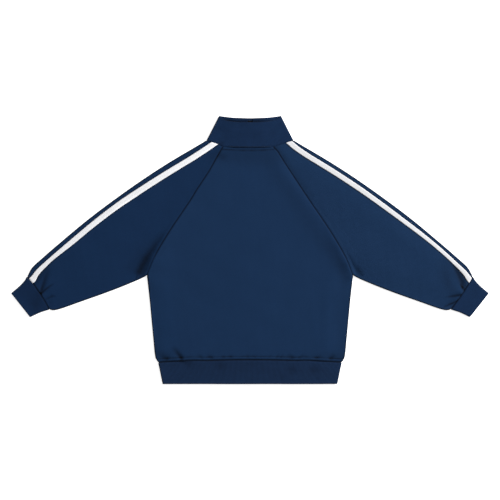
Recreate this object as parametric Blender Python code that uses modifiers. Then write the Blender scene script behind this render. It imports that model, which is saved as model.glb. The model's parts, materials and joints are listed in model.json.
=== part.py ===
"""Child's knitted track jacket with a stand collar and raglan sleeves, laid out on its front.

X runs across the jacket, +X to the wearer's right. Y runs from the hem up to the collar. Z = 0 is
the surface that the jacket lies on, with its fronts down and its back up. The origin is in the
middle of the space that it covers. Lengths in the tables are in millimetres, and MM turns them
into metres.

Every piece of cloth is an open sheet of faces on its outer side, given its thickness by Solidify.
Pieces that meet at a seam are built on the same seam line and then trimmed back from it, so an
open line of SEAM stays between them.
"""
import bisect
from collections import namedtuple
from math import cos, radians, sin

import bmesh
import bpy
from mathutils import Vector

MM = 0.001

# ---------------------------------------------------------------- driving dimensions (mm)
JERSEY = 1.6            # double-knit body cloth
RIB = 2.2               # two layers of rib: collar, cuffs and hem band
SEAM = 0.3              # open line between two pieces
JERSEY_FOLD = 4.8       # height of the cloth where it folds over at the sides
RIB_FOLD = 6.0          # the same for rib
LOFT = 2.0              # how far the top layer rises between its folds
LOFT_REACH = 45.0       # how far in from a fold the rise takes
FRONT_EDGE = 5.0        # centre line to the cut edge of each front

TAPE_THICK = 0.6        # white tape on the sleeves
TAPE_LIFT = 0.3         # how far it lies off the sleeve

COLLAR_TOP = 267.4      # tips of the collar
COLLAR_TOP_X = 61.7
NECK_Y = 206.6          # back neck seam at the centre
FRONT_NECK_Y = 196.6    # front neck seam at the zip
HEM_BOTTOM = -267.4     # lower edge of the hem band
HEM_BOTTOM_X = 174.8
HEM_SEAM = -216.8       # seam of the hem band at the centre
HEM_SAG = 6.8           # how much lower that seam is at the sides

ZIP_TAPE = 0.6
ZIP_TAPE_EDGE = 14.0    # centre line to the outer edge of a zip tape
TEETH_HALF = 2.5        # half the width of the closed row of teeth
TEETH_THICK = 2.2
ZIP_END = -262.0
ZIP_TOP = 260.0

ZIP_GAP = 0.4           # between the zip's tape and the cloth that it is sewn to
OVER_JERSEY = JERSEY + ZIP_GAP + ZIP_TAPE / 2
OVER_RIB = RIB + ZIP_GAP + ZIP_TAPE / 2

SLIDER_Y = 250.0
SLIDER = (8.8, 11.0, 0.9)       # each plate: width, length, thickness
SLIDER_MIDDLE = 4.5             # height of the teeth's middle inside the slider
SLIDER_GAP = 0.3                # running clearance between plates and teeth
WEDGE = (2.0, 3.2, 0.4)         # between the plates: width, length, and how far in from their end
BRIDGE = (1.2, 7.0, 1.9, 0.7)   # width, length, height off the plate, thickness
BRIDGE_POST = 1.0               # length of each of its posts
PULL = (6.0, 22.4, 0.8)         # width, length, thickness
PULL_EYE = (2.4, 4.6)           # hole that takes the bridge
PULL_BAR = 0.8                  # bar at the eye's end, which turns under the bridge
PULL_CORNER = 1.4               # radius of the tab's corners
PULL_GAP = 0.2                  # between the tab and the slider's plate
HINGE_AHEAD = 1.0               # slider's middle to the hinge
BOX = (8.0, 6.0, 3.2)           # bottom box of the zip: width, length, thickness
BOX_EDGE = 0.5                  # radius of its edges
TEETH_STEP = 0.2                # length in which the teeth begin and end
OPEN_TAPE = 1.5                 # centre line to the inner edge of a zip tape above the slider

# ---------------------------------------------------------------- tables of the jacket's outline (mm)
# A sleeve, from its cuff seam (at = 0) to its seams with the collar and body (at = 1): the points
# where its top fold and its under fold lie, for the sleeve on the +X side.
Section = namedtuple("Section", "at top_x top_y under_x under_y")
SLEEVE = (
    Section(0.00, 445.3, -53.0, 401.5, -118.0),
    Section(0.04, 434.0, -37.0, 392.0, -119.6),
    Section(0.10, 414.0, -17.5, 374.0, -115.0),
    Section(0.20, 378.5, 14.7, 340.0, -102.9),
    Section(0.35, 324.5, 59.6, 298.0, -88.1),
    Section(0.50, 271.8, 99.6, 263.0, -75.0),
    Section(0.65, 215.1, 139.7, 236.0, -64.0),
    Section(0.80, 160.0, 175.5, 218.0, -56.2),
    Section(1.00, 86.9, 219.6, 206.0, -49.5),
)

# The side of the body, from the hem seam to the underarm.
Side = namedtuple("Side", "at x y")
BODY_SIDE = (
    Side(0.00, 183.8, -223.6),
    Side(0.06, 189.0, -214.0),
    Side(0.25, 192.7, -180.4),
    Side(0.48, 196.5, -140.4),
    Side(0.71, 200.3, -100.4),
    Side(1.00, 206.0, -49.5),
)

# Where the white tape lies on each sleeve: how far its upper edge is from the top fold, and its
# width.
Strip = namedtuple("Strip", "at inset width")
TAPES = {
    "left": (
        Strip(0.00, 7.2, 10.4),
        Strip(0.15, 8.5, 9.8),
        Strip(0.35, 7.8, 10.4),
        Strip(0.52, 7.0, 11.6),
        Strip(0.65, 8.7, 11.8),
        Strip(0.85, 10.1, 10.9),
        Strip(1.00, 7.9, 10.2),
    ),
    "right": (
        Strip(0.00, 4.4, 9.6),
        Strip(0.15, 5.0, 8.6),
        Strip(0.40, 6.8, 9.0),
        Strip(0.60, 6.2, 9.8),
        Strip(0.85, 6.4, 9.8),
        Strip(0.94, 5.2, 9.4),
        Strip(1.00, 2.6, 9.2),
    ),
}

# The largest folds in the sleeves' top layer, as soft troughs from a deep end to a shallow one.
Trough = namedtuple("Trough", "deep_x deep_y end_x end_y width depth")
TROUGHS = {
    "left": (
        Trough(216.0, -42.0, 182.0, 16.0, 15.0, 1.7),       # under the arm
        Trough(418.0, -84.0, 408.0, -44.0, 9.0, 1.2),       # gathers above the cuff
        Trough(417.0, -90.0, 396.0, -68.0, 8.0, 1.1),
    ),
    "right": (
        Trough(424.0, -74.0, 405.0, -26.0, 10.0, 1.5),
        Trough(419.0, -91.0, 392.0, -94.0, 8.0, 1.1),
    ),
}

# A cuff, from its seam with the sleeve to its open end, for the +X side.
CUFF = (
    Section(0.00, 445.3, -53.0, 401.5, -118.0),
    Section(0.03, 446.5, -53.8, 402.7, -118.8),
    Section(0.20, 450.6, -60.6, 409.5, -121.0),
    Section(0.50, 459.8, -70.9, 420.3, -124.8),
    Section(1.00, 475.9, -84.7, 438.9, -133.4),
)

# How far the cuff seam bows up the arm.
CUFF_BOW = {"left": 3.6, "right": -3.0}

# The zip's tape and teeth from the hem up: height of their middle, and the inner edge of the tape.
Zip = namedtuple("Zip", "y middle inner teeth")
BOX_TOP = ZIP_END + BOX[1] + SEAM
TEETH_TOP = SLIDER_Y + 0.8
ZIP_RUN = (
    Zip(ZIP_END, OVER_RIB, BOX[0] / 2 + SEAM, False),
    Zip(BOX_TOP - TEETH_STEP, OVER_RIB, BOX[0] / 2 + SEAM, False),
    Zip(BOX_TOP, OVER_RIB, SEAM / 2, True),
    Zip(-215.5, OVER_RIB, SEAM / 2, True),
    Zip(-205.0, OVER_JERSEY, SEAM / 2, True),
    Zip(186.0, OVER_JERSEY, SEAM / 2, True),
    Zip(196.0, OVER_RIB, SEAM / 2, True),
    Zip(218.9, OVER_RIB, SEAM / 2, True),
    Zip(241.2, SLIDER_MIDDLE, SEAM / 2, True),
    Zip(TEETH_TOP, SLIDER_MIDDLE, SEAM / 2, True),
    Zip(TEETH_TOP + TEETH_STEP, SLIDER_MIDDLE, OPEN_TAPE, False),
    Zip(ZIP_TOP, SLIDER_MIDDLE, OPEN_TAPE, False),
)

# ---------------------------------------------------------------- how finely the cloth is divided
FACETS = (0.0, 36.0, 72.0, 90.0)    # how the flats round a fold's upper quarter lean, in degrees
NECK_SHARE = 0.115                  # share of a sleeve's upper end that joins the collar
TOP_STEPS = (0.05, NECK_SHARE, 0.20, 0.30, 0.40, 0.50, 0.60, 0.70, 0.79, 0.86, 0.91, 0.95)
LOWER_STEPS = (NECK_SHARE, 0.30, 0.50, 0.70, 0.86)
SLEEVE_STEPS = (0, 0.02, 0.04, 0.065, 0.1, 0.15, 0.22, 0.32, 0.43, 0.54, 0.64, 0.73, 0.81, 0.87,
                0.92, 0.96, 1)
SIDE_STEPS = (0, 0.03, 0.08, 0.25, 0.48, 0.71, 0.9, 0.985)


# ---------------------------------------------------------------- curves and tables
def read(rows, at):
    """A table's row at any place, on a smooth curve through its rows."""
    places = [row.at for row in rows]
    i = min(max(bisect.bisect_right(places, at) - 1, 0), len(rows) - 2)

    def slope(k):
        low, high = max(k - 1, 0), min(k + 1, len(rows) - 1)
        span = rows[high].at - rows[low].at
        return [(b - a) / span for a, b in zip(rows[low], rows[high])]

    a, b = rows[i], rows[i + 1]
    span = b.at - a.at
    t = (at - a.at) / span
    h = (2 * t**3 - 3 * t**2 + 1, t**3 - 2 * t**2 + t, 3 * t**2 - 2 * t**3, t**3 - t**2)
    values = zip(a, slope(i), b, slope(i + 1))
    return type(a)(*(h[0] * p + h[1] * m * span + h[2] * q + h[3] * n * span for p, m, q, n in values))


Mark = namedtuple("Mark", "at x y")


class Line:
    """A smooth line on the plan through a few points, read by its share from 0 to 1."""

    def __init__(self, *points):
        reach = [0.0]
        for (ax, ay), (bx, by) in zip(points, points[1:]):
            reach.append(reach[-1] + Vector((bx - ax, by - ay)).length)
        self.rows = [Mark(r / reach[-1], x, y) for r, (x, y) in zip(reach, points)]

    def __call__(self, share):
        mark = read(self.rows, share)
        return Vector((mark.x, mark.y))


NECK_POINT = (SLEEVE[-1].top_x, SLEEVE[-1].top_y)
UNDERARM = (SLEEVE[-1].under_x, SLEEVE[-1].under_y)
RAGLAN_TOP = (50.5, 206.8)
neck_side = Line(NECK_POINT, (77.0, 216.4), (63.7, 211.8), RAGLAN_TOP)
raglan = Line(RAGLAN_TOP, (70.5, 173.5), (121.0, 100.0), (162.0, 39.5), (193.0, -13.5), UNDERARM)
front_neck = Line(RAGLAN_TOP, (28.0, 199.6), (FRONT_EDGE, FRONT_NECK_Y))
back_neck = Line(RAGLAN_TOP, (25.0, NECK_Y), (0.0, NECK_Y))
collar_back_edge = Line((COLLAR_TOP_X, COLLAR_TOP), (50.0, 262.0), (30.0, 259.0), (0.0, 258.4))
collar_front_edge = Line((COLLAR_TOP_X, COLLAR_TOP), (35.0, 264.6), (FRONT_EDGE, 263.5))


Corner = namedtuple("Corner", "inset rise")


def fold_corners():
    """Corners round a fold's upper quarter, from its middle to where the cloth lies flat.

    The flats between them touch the round fold. Insets are shares of its reach, and rises are
    shares of half its height.
    """
    corners = []
    for a, b in zip(FACETS, FACETS[1:]):
        radius = 1 / cos(radians(b - a) / 2)
        middle = radians(a + b) / 2
        corners.append(Corner(1 - radius * cos(middle), radius * sin(middle)))
    return corners


FOLD = fold_corners()


def smooth(t):
    """0 to 1 with soft ends."""
    t = min(max(t, 0.0), 1.0)
    return t * t * (3 - 2 * t)


def to_segment(point, start, end):
    """Distance from a plan point to a segment, and how far along it the nearest place is."""
    along = end - start
    share = min(max((point - start).dot(along) / along.length_squared, 0.0), 1.0)
    return (point - start - along * share).length, share


def fold_marks():
    """Plan points on the folds round one half of the jacket, from the hem to the cuff to the neck."""
    body = [Vector((s.x, s.y)) for s in (read(BODY_SIDE, i / 6) for i in range(7))]
    sleeve = [read(SLEEVE, i / 12) for i in range(13)]
    under = [Vector((s.under_x, s.under_y)) for s in sleeve]
    top = [Vector((s.top_x, s.top_y)) for s in sleeve]
    return [body, under, top]


FOLDS = fold_marks()


def top_height(point, troughs=()):
    """Height of the top layer's outer side: it rises in from the folds, and dips in the troughs."""
    reach = min(to_segment(point, a, b)[0] for fold in FOLDS for a, b in zip(fold, fold[1:]))
    height = JERSEY_FOLD + LOFT * smooth(reach / LOFT_REACH)
    for trough in troughs:
        deep, end = Vector((trough.deep_x, trough.deep_y)), Vector((trough.end_x, trough.end_y))
        away, share = to_segment(point, deep, end)
        across = smooth(1 - away / trough.width)
        height -= trough.depth * across * smooth(1.15 - share) * smooth(reach / trough.width)
    return height


# ---------------------------------------------------------------- making objects
def start_scene():
    """An empty file with a collection for the parts and one for what cuts or guides them."""
    for old in list(bpy.data.objects):
        bpy.data.objects.remove(old)
    for name in ("track_jacket", "cutters"):
        collection = bpy.data.collections.new(name)
        bpy.context.scene.collection.children.link(collection)


def material(name, colour, roughness, metallic=0.0):
    made = bpy.data.materials.get(name) or bpy.data.materials.new(name)
    made.use_nodes = True
    shader = made.node_tree.nodes["Principled BSDF"]
    shader.inputs["Base Color"].default_value = (*colour, 1.0)
    shader.inputs["Roughness"].default_value = roughness
    shader.inputs["Metallic"].default_value = metallic
    made.diffuse_color = (*colour, 1.0)
    return made


def jersey():
    return material("navy_jersey", (0.011, 0.031, 0.080), 0.85)


def rib_knit():
    return material("navy_rib", (0.011, 0.024, 0.070), 0.9)


def white_tape():
    return material("white_tape", (0.86, 0.87, 0.90), 0.8)


def zip_cloth():
    return material("navy_zip_tape", (0.010, 0.020, 0.060), 0.8)


def zip_metal():
    return material("dark_zip_metal", (0.10, 0.10, 0.11), 0.35, 1.0)


def link(name, mesh, finish, collection="track_jacket"):
    made = bpy.data.objects.new(name, mesh)
    bpy.data.collections[collection].objects.link(made)
    if finish:
        mesh.materials.append(finish)
    return made


def mesh_from_rows(name, rows, closed=False, flip=False):
    """A sheet of four-sided faces through rows of points; a place that is None has no faces."""
    mesh = bpy.data.meshes.new(name)
    count = len(rows[0])
    points = [point * MM for row in rows for point in row if point]
    places = [(i, j) for i, row in enumerate(rows) for j, point in enumerate(row) if point]
    number = {place: n for n, place in enumerate(places)}
    faces = []
    for i in range(len(rows) - 1):
        for j in range(count if closed else count - 1):
            k = (j + 1) % count
            face = [number.get(place) for place in ((i, j), (i, k), (i + 1, k), (i + 1, j))]
            if None not in face:
                faces.append(face[::-1] if flip else face)
    mesh.from_pydata(points, [], faces)
    return mesh


def cloth(name, rows, thickness, finish, closed=False, flip=False, mirrored=False):
    """A piece of cloth: a sheet through rows of points on its outer side, made thick inwards."""
    mesh = mesh_from_rows(name, rows, closed, flip)
    mesh.shade_smooth()
    piece = link(name, mesh, finish)
    if mirrored:
        mirror = piece.modifiers.new("other half", "MIRROR")
        mirror.use_axis = (True, False, False)
        mirror.merge_threshold = 0.00001
    wall = piece.modifiers.new("thickness", "SOLIDIFY")
    wall.thickness = thickness * MM
    wall.offset = -1.0
    wall.use_even_offset = False
    return piece


def trimmed(line, inner):
    """A row of edge points moved half a seam's width towards the next row, square to the edge."""
    moved = []
    for i, point in enumerate(line):
        tangent = (line[min(i + 1, len(line) - 1)] - line[max(i - 1, 0)]).normalized()
        inward = inner[i] - point
        inward -= tangent * inward.dot(tangent)
        moved.append(point + inward.normalized() * SEAM / 2)
    return moved


def trim(rows, first=False, last=False, start=False, end=False):
    """Trims a sheet's first and last rows, and its rows' starts and ends, back from their seams."""
    if first:
        rows[0] = trimmed(rows[0], rows[1])
    if last:
        rows[-1] = trimmed(rows[-1], rows[-2])
    for use, at, beside in ((start, 0, 1), (end, -1, -2)):
        if use:
            column = trimmed([row[at] for row in rows], [row[beside] for row in rows])
            for row, point in zip(rows, column):
                row[at] = point
    return rows


# ---------------------------------------------------------------- sleeves
def sleeve_plan(at, share):
    """Plan point of a sleeve, from its top fold (share 0) to its under fold (share 1)."""
    row = read(SLEEVE, at)
    straight = Vector((row.top_x, row.top_y)).lerp(Vector((row.under_x, row.under_y)), share)
    if share <= NECK_SHARE:
        seam = neck_side(share / NECK_SHARE)
    else:
        seam = raglan((share - NECK_SHARE) / (1 - NECK_SHARE))
    chord = Vector(NECK_POINT).lerp(Vector(UNDERARM), share)
    return straight + (seam - chord) * smooth((at - 0.5) / 0.5) ** 1.5


def fold_share(at, under):
    """Share of a sleeve's width that its fold takes, at the top fold or at the under fold."""
    def fold_point(place):
        row = read(SLEEVE, place)
        return Vector((row.under_x, row.under_y)) if under else Vector((row.top_x, row.top_y))

    edge, step = (1.0, -0.01) if under else (0.0, 0.01)
    across = sleeve_plan(at, edge + step) - sleeve_plan(at, edge)
    low, high = max(at - 0.01, 0.0), min(at + 0.01, 1.0)
    along = (fold_point(high) - fold_point(low)).normalized()
    square = abs(across.normalized().cross(along))
    reach = JERSEY_FOLD / 2 / max(square, 0.6)
    return reach / (across.length / abs(step))


def ring(plan, fold, top_share, under_share, height):
    """Points round a flattened tube, from its top fold over its upper layer and back underneath."""
    points = []

    def add(share, z):
        spot = plan(share)
        points.append(Vector((spot.x, spot.y, z if z is not None else height(spot))))

    for corner in FOLD[:-1]:
        add(top_share * corner.inset, fold / 2 * (1 + corner.rise))
    for share in (top_share * FOLD[-1].inset, *TOP_STEPS, 1 - under_share * FOLD[-1].inset):
        add(share, None)
    for corner in reversed(FOLD[:-1]):
        add(1 - under_share * corner.inset, fold / 2 * (1 + corner.rise))
    for corner in FOLD:
        add(1 - under_share * corner.inset, fold / 2 * (1 - corner.rise))
    for share in reversed(LOWER_STEPS):
        add(share, 0.0)
    for corner in reversed(FOLD):
        add(top_share * corner.inset, fold / 2 * (1 - corner.rise))
    return points


def on_side(rows, side):
    """Rows made for the +X side, put on the side that is asked for."""
    if side == "right":
        return rows
    return [[point and Vector((-point.x, point.y, point.z)) for point in row] for row in rows]


def bowed(plan, bow):
    """A straight plan line across a cuff, bowed up the arm in the middle."""
    across = plan(1.0) - plan(0.0)
    up_arm = Vector((across.y, -across.x)).normalized()

    def bent(share):
        return plan(share) + up_arm * bow * 4 * share * (1 - share)
    return bent


def sleeve_line(side, at):
    """The plan line across one sleeve, bowed like the cuff seam where it is near the cuff."""
    def plan(share):
        return sleeve_plan(at, share)
    return bowed(plan, CUFF_BOW[side] * (1 - smooth(at / 0.12)))


def make_sleeve(side):
    rows = []
    for at in SLEEVE_STEPS:
        shares = fold_share(at, False), fold_share(at, True)
        rows.append(ring(sleeve_line(side, at), JERSEY_FOLD, *shares,
                         lambda spot: top_height(spot, TROUGHS[side])))
    trim(rows, first=True, last=True)
    return cloth("sleeve_" + side, on_side(rows, side), JERSEY, jersey(), closed=True,
                 flip=side == "right")


def make_tape(side):
    """The white tape lies on the sleeve's top layer, from the cuff seam to the collar seam."""
    rows = []
    for at in SLEEVE_STEPS:
        strip = read(TAPES[side], at)
        share_per_mm = fold_share(at, False) / (JERSEY_FOLD / 2)
        plan = sleeve_line(side, at)
        row = []
        for inset in (strip.inset, strip.inset + strip.width / 2, strip.inset + strip.width):
            spot = plan(inset * share_per_mm)
            height = top_height(spot, TROUGHS[side]) + TAPE_LIFT + TAPE_THICK
            row.append(Vector((spot.x, spot.y, height)))
        rows.append(row)
    trim(rows, first=True, last=True)
    return cloth("tape_" + side, on_side(rows, side), TAPE_THICK, white_tape(), flip=side == "left")


# ---------------------------------------------------------------- cuffs
def make_cuff(side):
    """A rib cuff, from its seam with the sleeve to its open end, a little waisted on the way."""
    rows = []
    for row in CUFF:
        top, under = Vector((row.top_x, row.top_y)), Vector((row.under_x, row.under_y))

        def plan(share, top=top, under=under):
            return top.lerp(under, share)

        share = RIB_FOLD / 2 / (under - top).length
        rows.append(ring(bowed(plan, CUFF_BOW[side] * (1 - row.at) ** 2), RIB_FOLD, share, share,
                         lambda spot: RIB_FOLD))
    trim(rows, first=True)
    return cloth("cuff_" + side, on_side(rows, side), RIB, rib_knit(), closed=True,
                 flip=side == "left")


# ---------------------------------------------------------------- body
def hem_seam(x):
    return HEM_SEAM - HEM_SAG * (x / BODY_SIDE[0].x) ** 2


Row = namedtuple("Row", "side folded inner")    # side end, whether the cloth folds there, inner end


def body_rows(steps, inner_x, neck_y):
    """The body's rows from the hem seam to the neck: where each starts at the side, and ends.

    The side fold ends just below the underarm, and the rows above it start at the raglan seam.
    """
    rows = []
    for at in SIDE_STEPS:
        spot = read(BODY_SIDE, at)
        fade = (1 - at) ** 2
        inner_y = spot.y + (hem_seam(inner_x) - hem_seam(spot.x)) * fade
        rows.append(Row(Vector((spot.x, spot.y)), True, Vector((inner_x, inner_y))))
    shares = [1 - fold_share(1.0, True)]
    shares += [share for share in reversed(steps) if share >= NECK_SHARE]
    for share in shares:
        spot = sleeve_plan(1.0, share)
        rise = (spot.y - UNDERARM[1]) / (RAGLAN_TOP[1] - UNDERARM[1])
        inner_y = UNDERARM[1] + (neck_y - UNDERARM[1]) * rise
        rows.append(Row(spot, False, Vector((inner_x, inner_y))))
    return rows


def body_row(row, columns, height, fold_sign, path=None):
    """Points from the side seam over the fold and in to the panel's inner edge."""
    span = (row.inner - row.side).length
    half = JERSEY_FOLD / 2

    def spot_at(share):
        if path:
            return path(share)
        spot = row.side.lerp(row.inner, share)
        return Vector((spot.x, spot.y + (row.inner.y - row.side.y) * share * (1 - share)))

    points, start = [None] * len(FOLD), 0.0
    if row.folded:
        points = [Vector((row.side.x, row.side.y, half))]
        for corner in FOLD[:-1]:
            spot = spot_at(half * corner.inset / span)
            points.append(Vector((spot.x, spot.y, half + fold_sign * half * corner.rise)))
        start = half * FOLD[-1].inset / span
    for i in range(columns + 1):
        spot = spot_at(start + (1 - start) * i / columns)
        points.append(Vector((spot.x, spot.y, height(spot))))
    return points


def trim_body(rows):
    """Trims a body panel back from its hem seam, neck seam, side seam and raglan seam."""
    folded = [row for row in rows if row[0]]
    plain = [row[len(FOLD):] for row in rows if not row[0]]
    trim(folded, first=True, start=True)
    trim(plain, last=True, start=True)
    return folded + [[None] * len(FOLD) + row for row in plain]


def make_back():
    rows = []
    outline = body_rows(TOP_STEPS, 0.0, NECK_Y)
    for row in outline:
        path = back_neck if row is outline[-1] else None
        rows.append(body_row(row, 7, top_height, 1, path))
    return cloth("back", trim_body(rows), JERSEY, jersey(), mirrored=True, flip=True)


def make_front(side):
    rows = []
    outline = body_rows(LOWER_STEPS, FRONT_EDGE, FRONT_NECK_Y - 10)
    for row in outline:
        path = front_neck if row is outline[-1] else None
        rows.append(body_row(row, 3, lambda spot: 0.0, -1, path))
    rows = on_side(trim_body(rows), side)
    return cloth("front_" + side, rows, JERSEY, jersey(), flip=side == "left")


# ---------------------------------------------------------------- collar and hem band
def band(rows, fold, upper_steps, lower_steps):
    """Rows of points for a flattened band, from its front edge round the fold to its centre back.

    Each row gives its lower and upper plan lines, from the fold (0) to the centre (1), and the
    heights of its lower and upper outer sides.
    """
    made = []
    for lower, upper, floor, height in rows:
        reach = fold / 2
        lower_share = reach / (lower(1.0) - lower(0.0)).length
        upper_share = reach / (upper(1.0) - upper(0.0)).length
        points = []
        for share in reversed(lower_steps):
            spot = lower(lower_share + (1 - lower_share) * share)
            points.append(Vector((spot.x, spot.y, floor(spot.x))))
        for corner in reversed(FOLD):
            spot = lower(lower_share * corner.inset)
            points.append(Vector((spot.x, spot.y, fold / 2 * (1 - corner.rise))))
        for corner in FOLD:
            spot = upper(upper_share * corner.inset)
            points.append(Vector((spot.x, spot.y, fold / 2 * (1 + corner.rise))))
        for share in upper_steps:
            spot = upper(upper_share + (1 - upper_share) * share)
            points.append(Vector((spot.x, spot.y, height(spot.x))))
        made.append(points)
    return made


def join_lines(first, second, share):
    """Two lines end to end, the first one taking the given share."""
    def joined(t):
        return first(t / share) if t <= share else second((t - share) / (1 - share))
    return joined


def mixed(a, b, t):
    def between(share):
        return a(share).lerp(b(share), t)
    return between


COLLAR_LIFT = SLIDER_MIDDLE - OVER_RIB       # of the front collar, which rests on the pull tab
COLLAR_SEAM_SHARE = 0.44                     # share of the collar's base that joins the sleeve

# Rows of the collar from its seam up: how far the front is lifted, and the back's rise off its fold.
CollarRow = namedtuple("CollarRow", "up lift rise")
COLLAR_ROWS = (
    CollarRow(0.0, 0.0, 1.0),
    CollarRow(1 / 3, 0.0, 1.8),
    CollarRow(2 / 3, COLLAR_LIFT, 3.5),
    CollarRow(1.0, COLLAR_LIFT, 3.5),
)
COLLAR_LIFTED = (18.0, 45.0)                 # |x| up to where the lift is full, and where it ends
COLLAR_RAISED = (15.0, 70.0)                 # the same for the rise

# Rows of the hem band from its seam down, with the back's rise off its fold.
HemRow = namedtuple("HemRow", "down rise")
HEM_ROWS = (HemRow(0.0, 1.6), HemRow(0.33, 1.6), HemRow(0.66, 1.5), HemRow(1.0, 1.4))
HEM_RAISED = (80.0, 170.0)


def fading(x, ends):
    """1 up to the first of two distances from the centre, and softly down to 0 at the second."""
    full, none = ends
    return smooth((none - abs(x)) / (none - full))


def make_collar():
    upper_seam = join_lines(neck_side, back_neck, COLLAR_SEAM_SHARE)
    lower_seam = join_lines(neck_side, front_neck, COLLAR_SEAM_SHARE)
    rows = []
    for row in COLLAR_ROWS:
        def floor(x, row=row):
            return row.lift * fading(x, COLLAR_LIFTED)

        def height(x, row=row):
            return RIB_FOLD + row.rise * fading(x, COLLAR_RAISED)

        rows.append((mixed(lower_seam, collar_front_edge, row.up),
                     mixed(upper_seam, collar_back_edge, row.up), floor, height))
    steps = (0.15, 0.30, COLLAR_SEAM_SHARE, 0.62, 0.8, 1.0)
    made = trim(band(rows, RIB_FOLD, steps, steps), first=True)
    return cloth("collar", made, RIB, rib_knit(), mirrored=True, flip=True)


def hem_line(down, inner):
    """A plan line of the hem band from its side fold to its inner end, some share of the way down."""
    side = BODY_SIDE[0].x + (HEM_BOTTOM_X - BODY_SIDE[0].x) * down

    def plan(share):
        x = side + (inner - side) * share
        return Vector((x, hem_seam(x) + (HEM_BOTTOM - hem_seam(x)) * down))
    return plan


def make_hem_rib():
    rows = []
    for row in HEM_ROWS:
        def height(x, row=row):
            return RIB_FOLD + row.rise * fading(x, HEM_RAISED)

        rows.append((hem_line(row.down, FRONT_EDGE), hem_line(row.down, 0.0), lambda x: 0.0, height))
    upper_steps, lower_steps = (0.08, 0.2, 0.35, 0.5, 0.65, 0.82, 1.0), (0.3, 0.65, 1.0)
    made = trim(band(rows, RIB_FOLD, upper_steps, lower_steps), first=True)
    return cloth("hem_rib", made, RIB, rib_knit(), mirrored=True)


# ---------------------------------------------------------------- zip
def make_stringer(side):
    """Half of the zip: a tape behind the front's edge, thickened at its inner edge by the teeth."""
    rows = []
    tape, teeth = ZIP_TAPE / 2, TEETH_THICK / 2
    for row in ZIP_RUN:
        bead = teeth if row.teeth else tape + 0.05
        bead_edge = TEETH_HALF if row.teeth else row.inner + 0.8
        outline = ((row.inner, -bead), (bead_edge, -bead), (bead_edge + 0.01, -tape),
                   (ZIP_TAPE_EDGE, -tape), (ZIP_TAPE_EDGE, tape), (bead_edge + 0.01, tape),
                   (bead_edge, bead), (row.inner, bead))
        rows.append([Vector((x, row.y, row.middle + z)) for x, z in outline])
    mesh = mesh_from_rows("zip_stringer_" + side, on_side(rows, side), closed=True,
                          flip=side == "left")
    shape = bmesh.new()
    shape.from_mesh(mesh)
    open_edges = [edge for edge in shape.edges if edge.is_boundary]
    bmesh.ops.holes_fill(shape, edges=open_edges)
    bmesh.ops.recalc_face_normals(shape, faces=shape.faces)
    shape.to_mesh(mesh)
    shape.free()
    return link("zip_stringer_" + side, mesh, zip_cloth())


def block(name, low, high, collection="cutters", finish=None):
    """A box between two corners, in millimetres."""
    mesh = bpy.data.meshes.new(name)
    shape = bmesh.new()
    bmesh.ops.create_cube(shape, size=1.0)
    low, high = Vector(low), Vector(high)
    size = high - low
    bmesh.ops.scale(shape, vec=size * MM, verts=shape.verts)
    bmesh.ops.translate(shape, vec=(low + high) / 2 * MM, verts=shape.verts)
    shape.to_mesh(mesh)
    shape.free()
    made = link(name, mesh, finish, collection)
    if collection == "cutters":
        made.hide_render = True
        made.display_type = "WIRE"
    return made


def combine(piece, operation, *others):
    for other in others:
        step = piece.modifiers.new(other.name, "BOOLEAN")
        step.operation = operation
        step.object = other


def make_slider():
    """Two plates over and under the teeth, a wedge that joins them, and the bridge for the pull."""
    width, length, plate = SLIDER
    near, far = SLIDER_Y - length / 2, SLIDER_Y + length / 2
    inner = TEETH_THICK / 2 + SLIDER_GAP
    low, high = SLIDER_MIDDLE - inner, SLIDER_MIDDLE + inner
    slider = block("zip_slider", (-width / 2, near, low - plate), (width / 2, far, low),
                   "track_jacket", zip_metal())
    over = block("plate_over", (-width / 2, near, high), (width / 2, far, high + plate))
    wedge_width, wedge_length, wedge_in = WEDGE
    wedge = block("wedge", (-wedge_width / 2, far - wedge_in - wedge_length, low - plate / 2),
                  (wedge_width / 2, far - wedge_in, high + plate / 2))
    bridge_width, bridge_length, bridge_height, bar = BRIDGE
    start, end = SLIDER_Y - bridge_length / 2, SLIDER_Y + bridge_length / 2
    base = low - plate
    bridge = block("bridge", (-bridge_width / 2, start, base - bridge_height),
                   (bridge_width / 2, end, base + plate / 2))
    opening = block("bridge_opening", (-bridge_width, start + BRIDGE_POST, base - bridge_height + bar),
                    (bridge_width, end - BRIDGE_POST, base))
    combine(bridge, "DIFFERENCE", opening)
    combine(slider, "UNION", over, wedge, bridge)
    return slider


def make_pull():
    """The pull tab, on an empty at its hinge: the bar of its eye turns under the bridge."""
    width, length, thick = PULL
    eye_width, eye_length = PULL_EYE
    base = SLIDER_MIDDLE - TEETH_THICK / 2 - SLIDER_GAP - SLIDER[2]
    hinge = Vector((0.0, SLIDER_Y + HINGE_AHEAD, base - PULL_GAP - thick / 2))
    pivot = bpy.data.objects.new("zip_pull_hinge", None)
    pivot.location = hinge * MM
    pivot.empty_display_size = 0.01
    bpy.data.collections["track_jacket"].objects.link(pivot)
    tip = -length + PULL_BAR / 2
    tab = block("zip_pull", (-width / 2, tip, -thick / 2), (width / 2, PULL_BAR / 2, thick / 2),
                "track_jacket", zip_metal())
    eye = block("pull_eye", (-eye_width / 2, -PULL_BAR / 2 - eye_length, -thick),
                (eye_width / 2, -PULL_BAR / 2, thick))
    corners = tab.modifiers.new("round corners", "BEVEL")
    corners.width = PULL_CORNER * MM
    corners.segments = 3
    corners.limit_method = "WEIGHT"
    mark_upright_edges(tab)
    combine(tab, "DIFFERENCE", eye)
    for piece in (tab, eye):
        piece.parent = pivot
    return tab


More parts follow.
